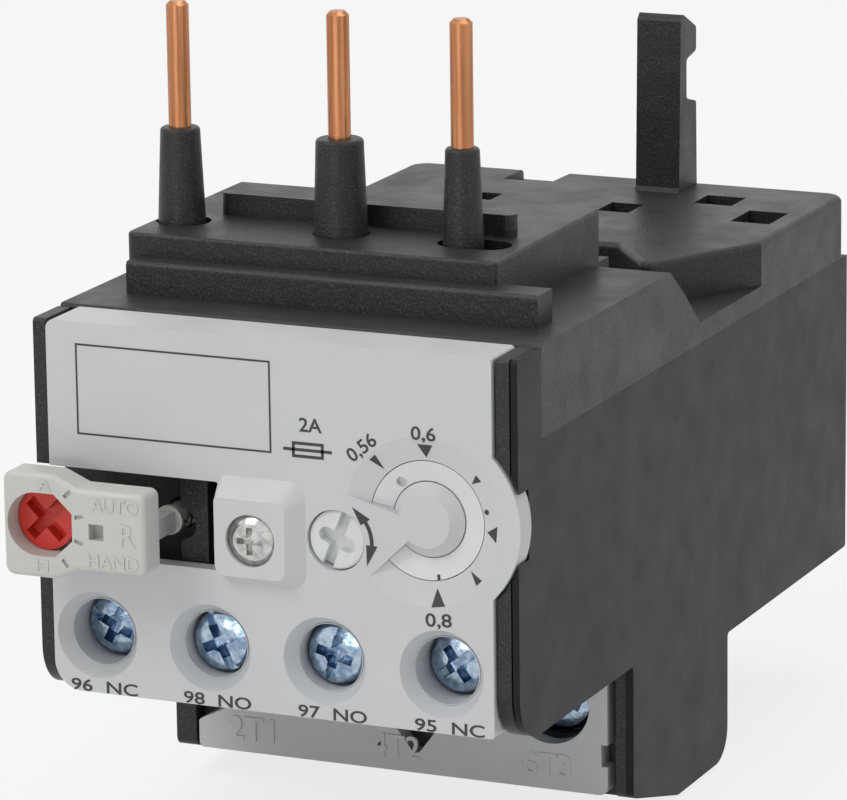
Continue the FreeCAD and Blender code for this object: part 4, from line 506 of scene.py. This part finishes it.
# Words, centre, width, cap height, turn.
DIAL_WORDS = (
    ("0,56", (8.4, 10.72), 3.0, 1.2, 39),
    ("0,6", (14.1, 12.42), 2.25, 1.15, 0),
    ("0,8", (15.3, -3.62), 2.4, 1.15, 3),
    ("2A", (3.75, 12.2), 2.1, 1.2, 0),
)
FUSE_LINE = 0.26
CONTROL_LABELS = ("96  NC", "98  NO", "97  NO", "95  NC")
CONTROL_LABEL_X = -16.35
CONTROL_LABEL_PITCH = 10.85
CONTROL_LABEL_Z = -12.95
ADJUSTER_CENTRE = (5.91, 2.36)


def words(text, centre, width, height, depth, rise, turn=0.0):
    """Letters that face the front, fitted to a width and cap height in millimetres."""
    bpy.ops.object.select_all(action="DESELECT")
    bpy.ops.object.text_add()
    obj = bpy.context.object
    obj.name = "letters_" + "".join(c for c in text if c.isalnum())
    obj.data.body = text
    obj.data.resolution_u = 4
    obj.data.extrude = 0.5
    obj.data.offset = LETTER_WEIGHT
    bpy.ops.object.convert(target="MESH")
    xs = [v.co.x for v in obj.data.vertices]
    ys = [v.co.y for v in obj.data.vertices]
    place = Matrix.Translation(Vector((centre[0], at(depth), centre[1])) * MM)
    turned = Matrix.Rotation(math.radians(-turn), 4, "Y") @ Matrix.Rotation(math.radians(90), 4, "X")
    size = Matrix.Diagonal((width / (max(xs) - min(xs)), height / max(ys), 2 * rise, 1)) @ Matrix.Scale(1, 4)
    middle = Matrix.Translation((-(max(xs) + min(xs)) / 2, -max(ys) / 2, 0))
    scale = Matrix.Scale(MM, 4)
    obj.data.transform(place @ turned @ scale @ size @ middle)
    return obj


def flat_shape(points, depth, rise):
    """Thin plate through corners (x, z), at one depth or at a depth that depends on the place."""
    obj = primitive("circle", "mark", vertices=len(points), radius=MM, fill_type="NGON")
    for vertex, (x, z) in zip(obj.data.vertices, points):
        level = depth(x, z) if callable(depth) else depth
        vertex.co = (x * MM, at(level) * MM, z * MM)
    pick(obj, "FACE", lambda face: True)
    bpy.ops.mesh.extrude_region_move(TRANSFORM_OT_translate={"value": (0, -rise * MM, 0)})
    bpy.ops.mesh.select_all(action="SELECT")
    bpy.ops.mesh.normals_make_consistent(inside=False)
    leave()
    return obj


def frame_shape(x0, x1, z0, z1, line, depth, rise):
    """Rectangular outline of even line width."""
    obj = primitive("plane", "mark", size=1.0)
    for vertex in obj.data.vertices:
        x = x0 if vertex.co.x < 0 else x1
        z = z0 if vertex.co.y < 0 else z1
        vertex.co = (x * MM, at(depth) * MM, z * MM)
    pick(obj, "FACE", lambda face: True)
    bpy.ops.mesh.inset(thickness=line * MM)
    bpy.ops.mesh.delete(type="FACE")
    bpy.ops.mesh.select_all(action="SELECT")
    bpy.ops.mesh.extrude_region_move(TRANSFORM_OT_translate={"value": (0, -rise * MM, 0)})
    bpy.ops.mesh.select_all(action="SELECT")
    bpy.ops.mesh.normals_make_consistent(inside=False)
    leave()
    return obj


def polar(centre, radius, angle):
    turn = math.radians(angle)
    return centre[0] + radius * math.cos(turn), centre[1] + radius * math.sin(turn)


def dish_depth(x, z):
    """Depth of the conical dish between the dial's rim and the flat face of the cover."""
    reach = math.hypot(x - DIAL_CENTRE[0], z - DIAL_CENTRE[1])
    share = (DISH_RADIUS - reach) / (DISH_RADIUS - DIAL_RADIUS)
    return DISH_RIM_DEPTH * min(max(share, 0.0), 1.0)


def scale_mark(angle, inner, outer, half_width):
    """Triangle on the dish that points at the dial's axis."""
    spread_angle = math.degrees(half_width / outer)
    return flat_shape([
        polar(DIAL_CENTRE, inner, angle),
        polar(DIAL_CENTRE, outer, angle + spread_angle),
        polar(DIAL_CENTRE, outer, angle - spread_angle),
    ], dish_depth, INK)


def index_mark():
    """Black tick on the dial's ring."""
    tick = flat_shape([polar(DIAL_CENTRE, radius, INDEX_ANGLE + side) for radius, side in (
        (4.75, -0.8), (5.08, -0.8), (5.08, 0.8), (4.75, 0.8))], dial_depth, INK)
    tick.name = "dial_index"
    return tick


def dial_depth(x, z):
    """Depth of the dial's own conical face."""
    reach = math.hypot(x - DIAL_CENTRE[0], z - DIAL_CENTRE[1])
    return DISH_RIM_DEPTH + DIAL_SLOPE * (DIAL_RADIUS - reach)


def turning_arrow():
    """Double-headed arrow round the adjuster."""
    radius = 3.35
    half = 0.17
    head = 0.52
    steps = 8
    start, end = -2.0, 34.0
    angles = [start + (end - start) * i / steps for i in range(steps + 1)]
    outer = [polar(ADJUSTER_CENTRE, radius + half, a) for a in angles]
    inner = [polar(ADJUSTER_CENTRE, radius - half, a) for a in reversed(angles)]
    shaft = flat_shape(outer + inner, 0, INK)
    heads = []
    for base, tip in ((end, 63.0), (start, -34.0)):
        heads.append(flat_shape([
            polar(ADJUSTER_CENTRE, radius + head, base),
            polar(ADJUSTER_CENTRE, radius + 0.12, tip),
            polar(ADJUSTER_CENTRE, radius - head, base),
        ], 0, INK))
    return [shaft] + heads


def fuse_symbol():
    """Rectangle with a line through it."""
    return [
        frame_shape(2.0, 4.95, 9.3, 10.68, FUSE_LINE, 0, INK),
        flat_shape([(1.2, 9.86), (5.7, 9.86), (5.7, 9.86 + FUSE_LINE), (1.2, 9.86 + FUSE_LINE)], 0, INK),
    ]


def front_marks():
    """Everything that is printed on the cover."""
    marks = [frame_shape(-18.3, 0.08, 9.45, 17.45, 0.16, 0, INK)]
    for angle, inner, outer, half_width in SCALE_MARKS:
        marks.append(scale_mark(angle, inner, outer, half_width))
    dot = polar(DIAL_CENTRE, DOT_REACH, DOT_ANGLE)
    marks.append(flat_shape([polar(dot, 0.24, 45 * i) for i in range(8)], dish_depth, INK))
    marks += turning_arrow()
    for label, centre, width, height, turn in DIAL_WORDS:
        marks.append(words(label, centre, width, height, 0, INK, turn))
    marks += fuse_symbol()
    for i, label in enumerate(CONTROL_LABELS):
        centre = (CONTROL_LABEL_X + CONTROL_LABEL_PITCH * i, CONTROL_LABEL_Z)
        marks.append(words(label, centre, 6.4, 1.05, 0, INK))
    return finish_piece(weld("printed_front_marks", marks), "housing", "print_black")


def button_letters():
    """Raised letters on the reset button's face."""
    depth = BUTTON_FRONT
    rise = LETTER_RISE
    letters = [
        words("A", (-18.5, 6.42), 1.25, 1.0, depth, rise),
        words("H", (-18.9, -0.75), 1.2, 1.0, depth, rise),
        words("AUTO", (-11.85, 5.15), 4.5, 1.15, depth, rise),
        words("R", (-10.7, 2.65), 1.5, 1.9, depth, rise),
        words("HAND", (-12.1, 0.2), 4.8, 1.15, depth, rise),
    ]
    return finish_piece(weld("button_letters", letters), "reset_button", "button_grey")


def terminal_letters():
    """Raised numbers on the terminal cover."""
    depth = TERMINAL_FRONT
    rise = TERMINAL_LETTER_RISE
    letters = [words(label, (x, -24.1), 4.6, 2.2, depth, rise)
               for label, x in (("2T1", -14.9), ("4T2", -0.5), ("6T3", 14.25))]
    return finish_piece(weld("terminal_letters", letters), "housing", "terminal_grey")


# ---- Screws and small cover pieces ------------------------------------------------------------------

CONTROL_HEAD_DEPTHS = (3.3, 1.9, 1.9, 3.3)
CONTROL_XS = [-16.9 + 10.8 * i for i in range(4)]
CONTROL_Z = -8.35
MAIN_XS = [-14.5, 0.0, 14.5]
MAIN_Z = -18.35
MAIN_HEAD_DEPTHS = (28.4, 28.4, 28.4)
SCREW_SKIN = 0.02
SLEEVE_INNER = 2.96
SLEEVE_OUTER = 3.03
SLEEVE_START = 1.2
SLEEVE_PAST_HEAD = 2.0
AXIS_RADIUS = 0.001
MERGE_DISTANCE = 0.000001
CONTROL_SIZE = {"head": 2.75, "head_length": 2.4, "shank": 1.45, "length": 14.0, "pitch": 0.6}
MAIN_SIZE = {"head": 3.4, "head_length": 2.6, "shank": 1.9, "length": 14.6, "pitch": 0.7}


def face_cutter(centre, reach, width, front, deep, taper=1.0):
    """Block that cuts a recess into a face looking forward, narrower at its floor."""
    obj = primitive("cube", "cutter", size=1.0)
    floor_depth = front + deep
    for vertex in obj.data.vertices:
        outside = vertex.co.y < 0
        share = 1.0 if outside else taper
        level = front - 0.3 if outside else floor_depth
        x = centre[0] + (1 if vertex.co.x > 0 else -1) * reach * share
        z = centre[1] + (1 if vertex.co.z > 0 else -1) * width / 2 * share
        vertex.co = (x * MM, at(level) * MM, z * MM)
    return obj


def turned(obj, degrees, centre):
    """Turns a mesh about a line along Y through centre."""
    pivot = Matrix.Translation(Vector((centre[0], 0, centre[1])) * MM)
    obj.data.transform(pivot @ Matrix.Rotation(math.radians(degrees), 4, "Y") @ pivot.inverted())
    return obj


def lathe_y(name, profile, centre, steps=48):
    """Closed body turned about a line along Y from (radius, depth) points."""
    obj = primitive("circle", name, vertices=len(profile), radius=MM, fill_type="NOTHING")
    for vertex, (radius, depth) in zip(obj.data.vertices, profile):
        vertex.co = ((centre[0] + radius) * MM, at(depth) * MM, centre[1] * MM)
    only(obj)
    bpy.ops.object.mode_set(mode="EDIT")
    bpy.ops.mesh.select_all(action="SELECT")
    axis_point = (centre[0] * MM, 0, centre[1] * MM)
    bpy.ops.mesh.spin(steps=steps, angle=2 * math.pi, center=axis_point, axis=(0, 1, 0))
    bpy.ops.mesh.select_all(action="SELECT")
    bpy.ops.mesh.remove_doubles(threshold=MERGE_DISTANCE)
    bpy.ops.mesh.dissolve_degenerate(threshold=MERGE_DISTANCE)
    bpy.ops.mesh.normals_make_consistent(inside=False)
    leave()
    return obj


def screw(name, centre, front, size):
    """Pan head on a shank with turned thread crests; the recess is cut afterwards."""
    neck = front + size["head_length"]
    end = front + size["length"]
    rim = size["head"] - SCREW_SKIN
    crest = size["shank"] - SCREW_SKIN
    root = size["shank"] - 0.2
    profile = [(AXIS_RADIUS, front), (size["head"] * 0.62, front + 0.06), (size["head"] * 0.88, front + 0.28),
               (rim, front + 0.75), (rim, neck), (crest, neck)]
    level = neck + 0.6
    while level + size["pitch"] < end - 0.5:
        profile += [(crest, level), (root, level + size["pitch"] / 2)]
        level += size["pitch"]
    profile += [(crest, level), (size["shank"] - 0.35, end - SCREW_SKIN), (AXIS_RADIUS, end - SCREW_SKIN)]
    return lathe_y(name, profile, centre)


def combination_recess(obj, centre, front, head_radius, turn):
    """Cross recess with star corners and a slot from rim to rim."""
    arm = head_radius * 0.66
    arm_width = head_radius * 0.34
    corner = head_radius * 0.36
    slot_width = head_radius * 0.26
    cutters = [
        face_cutter(centre, arm, arm_width, front, 1.5, 0.72),
        turned(face_cutter(centre, arm, arm_width, front, 1.5, 0.72), 90, centre),
        turned(face_cutter(centre, corner, corner, front, 1.1, 0.6), 45, centre),
        face_cutter(centre, head_radius + 0.3, slot_width, front, 0.8),
    ]
    cut_away(obj, *[turned(tool, turn, centre) for tool in cutters])


def terminal_screws(row, centres, fronts, size, first_turn, turn_step):
    """Blue-plated screws of one row of terminals, each turned a little further than the last."""
    for i, (centre, front) in enumerate(zip(centres, fronts)):
        node = f"{row}_screw_{i + 1}"
        piece = screw(node + "_finished", centre, front, size)
        combination_recess(piece, centre, front, size["head"], first_turn + turn_step * i)
        finish_piece(piece, node, "zinc", 30)
        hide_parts(node)


def screw_sleeves():
    """Grey sleeves of the cover that line the bores down to the screw heads."""
    for i, (x, front) in enumerate(zip(CONTROL_XS, CONTROL_HEAD_DEPTHS)):
        centre = (x, CONTROL_Z)
        end = front + SLEEVE_PAST_HEAD
        profile = [(SLEEVE_INNER, SLEEVE_START), (SLEEVE_OUTER, SLEEVE_START), (SLEEVE_OUTER, end),
                   (SLEEVE_INNER, end)]
        finish_piece(lathe_y(f"screw_sleeve_{i + 1}", profile, centre), "housing", "cover_grey")


# ---- Assembly ------------------------------------------------------------------------------------

def main():
    add_camera()
    add_world()
    add_floor()
    add_lamp("key", (-0.35, -0.65, 0.75), (0, -0.04, 0.0), 0.5, 3.4)
    add_lamp("front_fill", (-0.05, -0.8, -0.12), (0, -0.05, -0.02), 0.4, 2.3)
    add_lamp("side", (0.8, -0.2, 0.3), (0, -0.04, 0.0), 0.6, 0.7)
    add_lamp("top", (0.05, 0.15, 0.9), (0, -0.04, 0.0), 0.7, 2.4)
    bpy.context.scene.view_settings.view_transform = "Standard"
    dress_nodes()
    control_row = [(x, CONTROL_Z) for x in CONTROL_XS]
    main_row = [(x, MAIN_Z) for x in MAIN_XS]
    terminal_screws("control", control_row, CONTROL_HEAD_DEPTHS, CONTROL_SIZE, 25, 40)
    terminal_screws("main", main_row, MAIN_HEAD_DEPTHS, MAIN_SIZE, 15, 50)
    screw_sleeves()
    finish_piece(index_mark(), "setting_dial", "print_black")
    front_marks()
    button_letters()
    terminal_letters()


main()
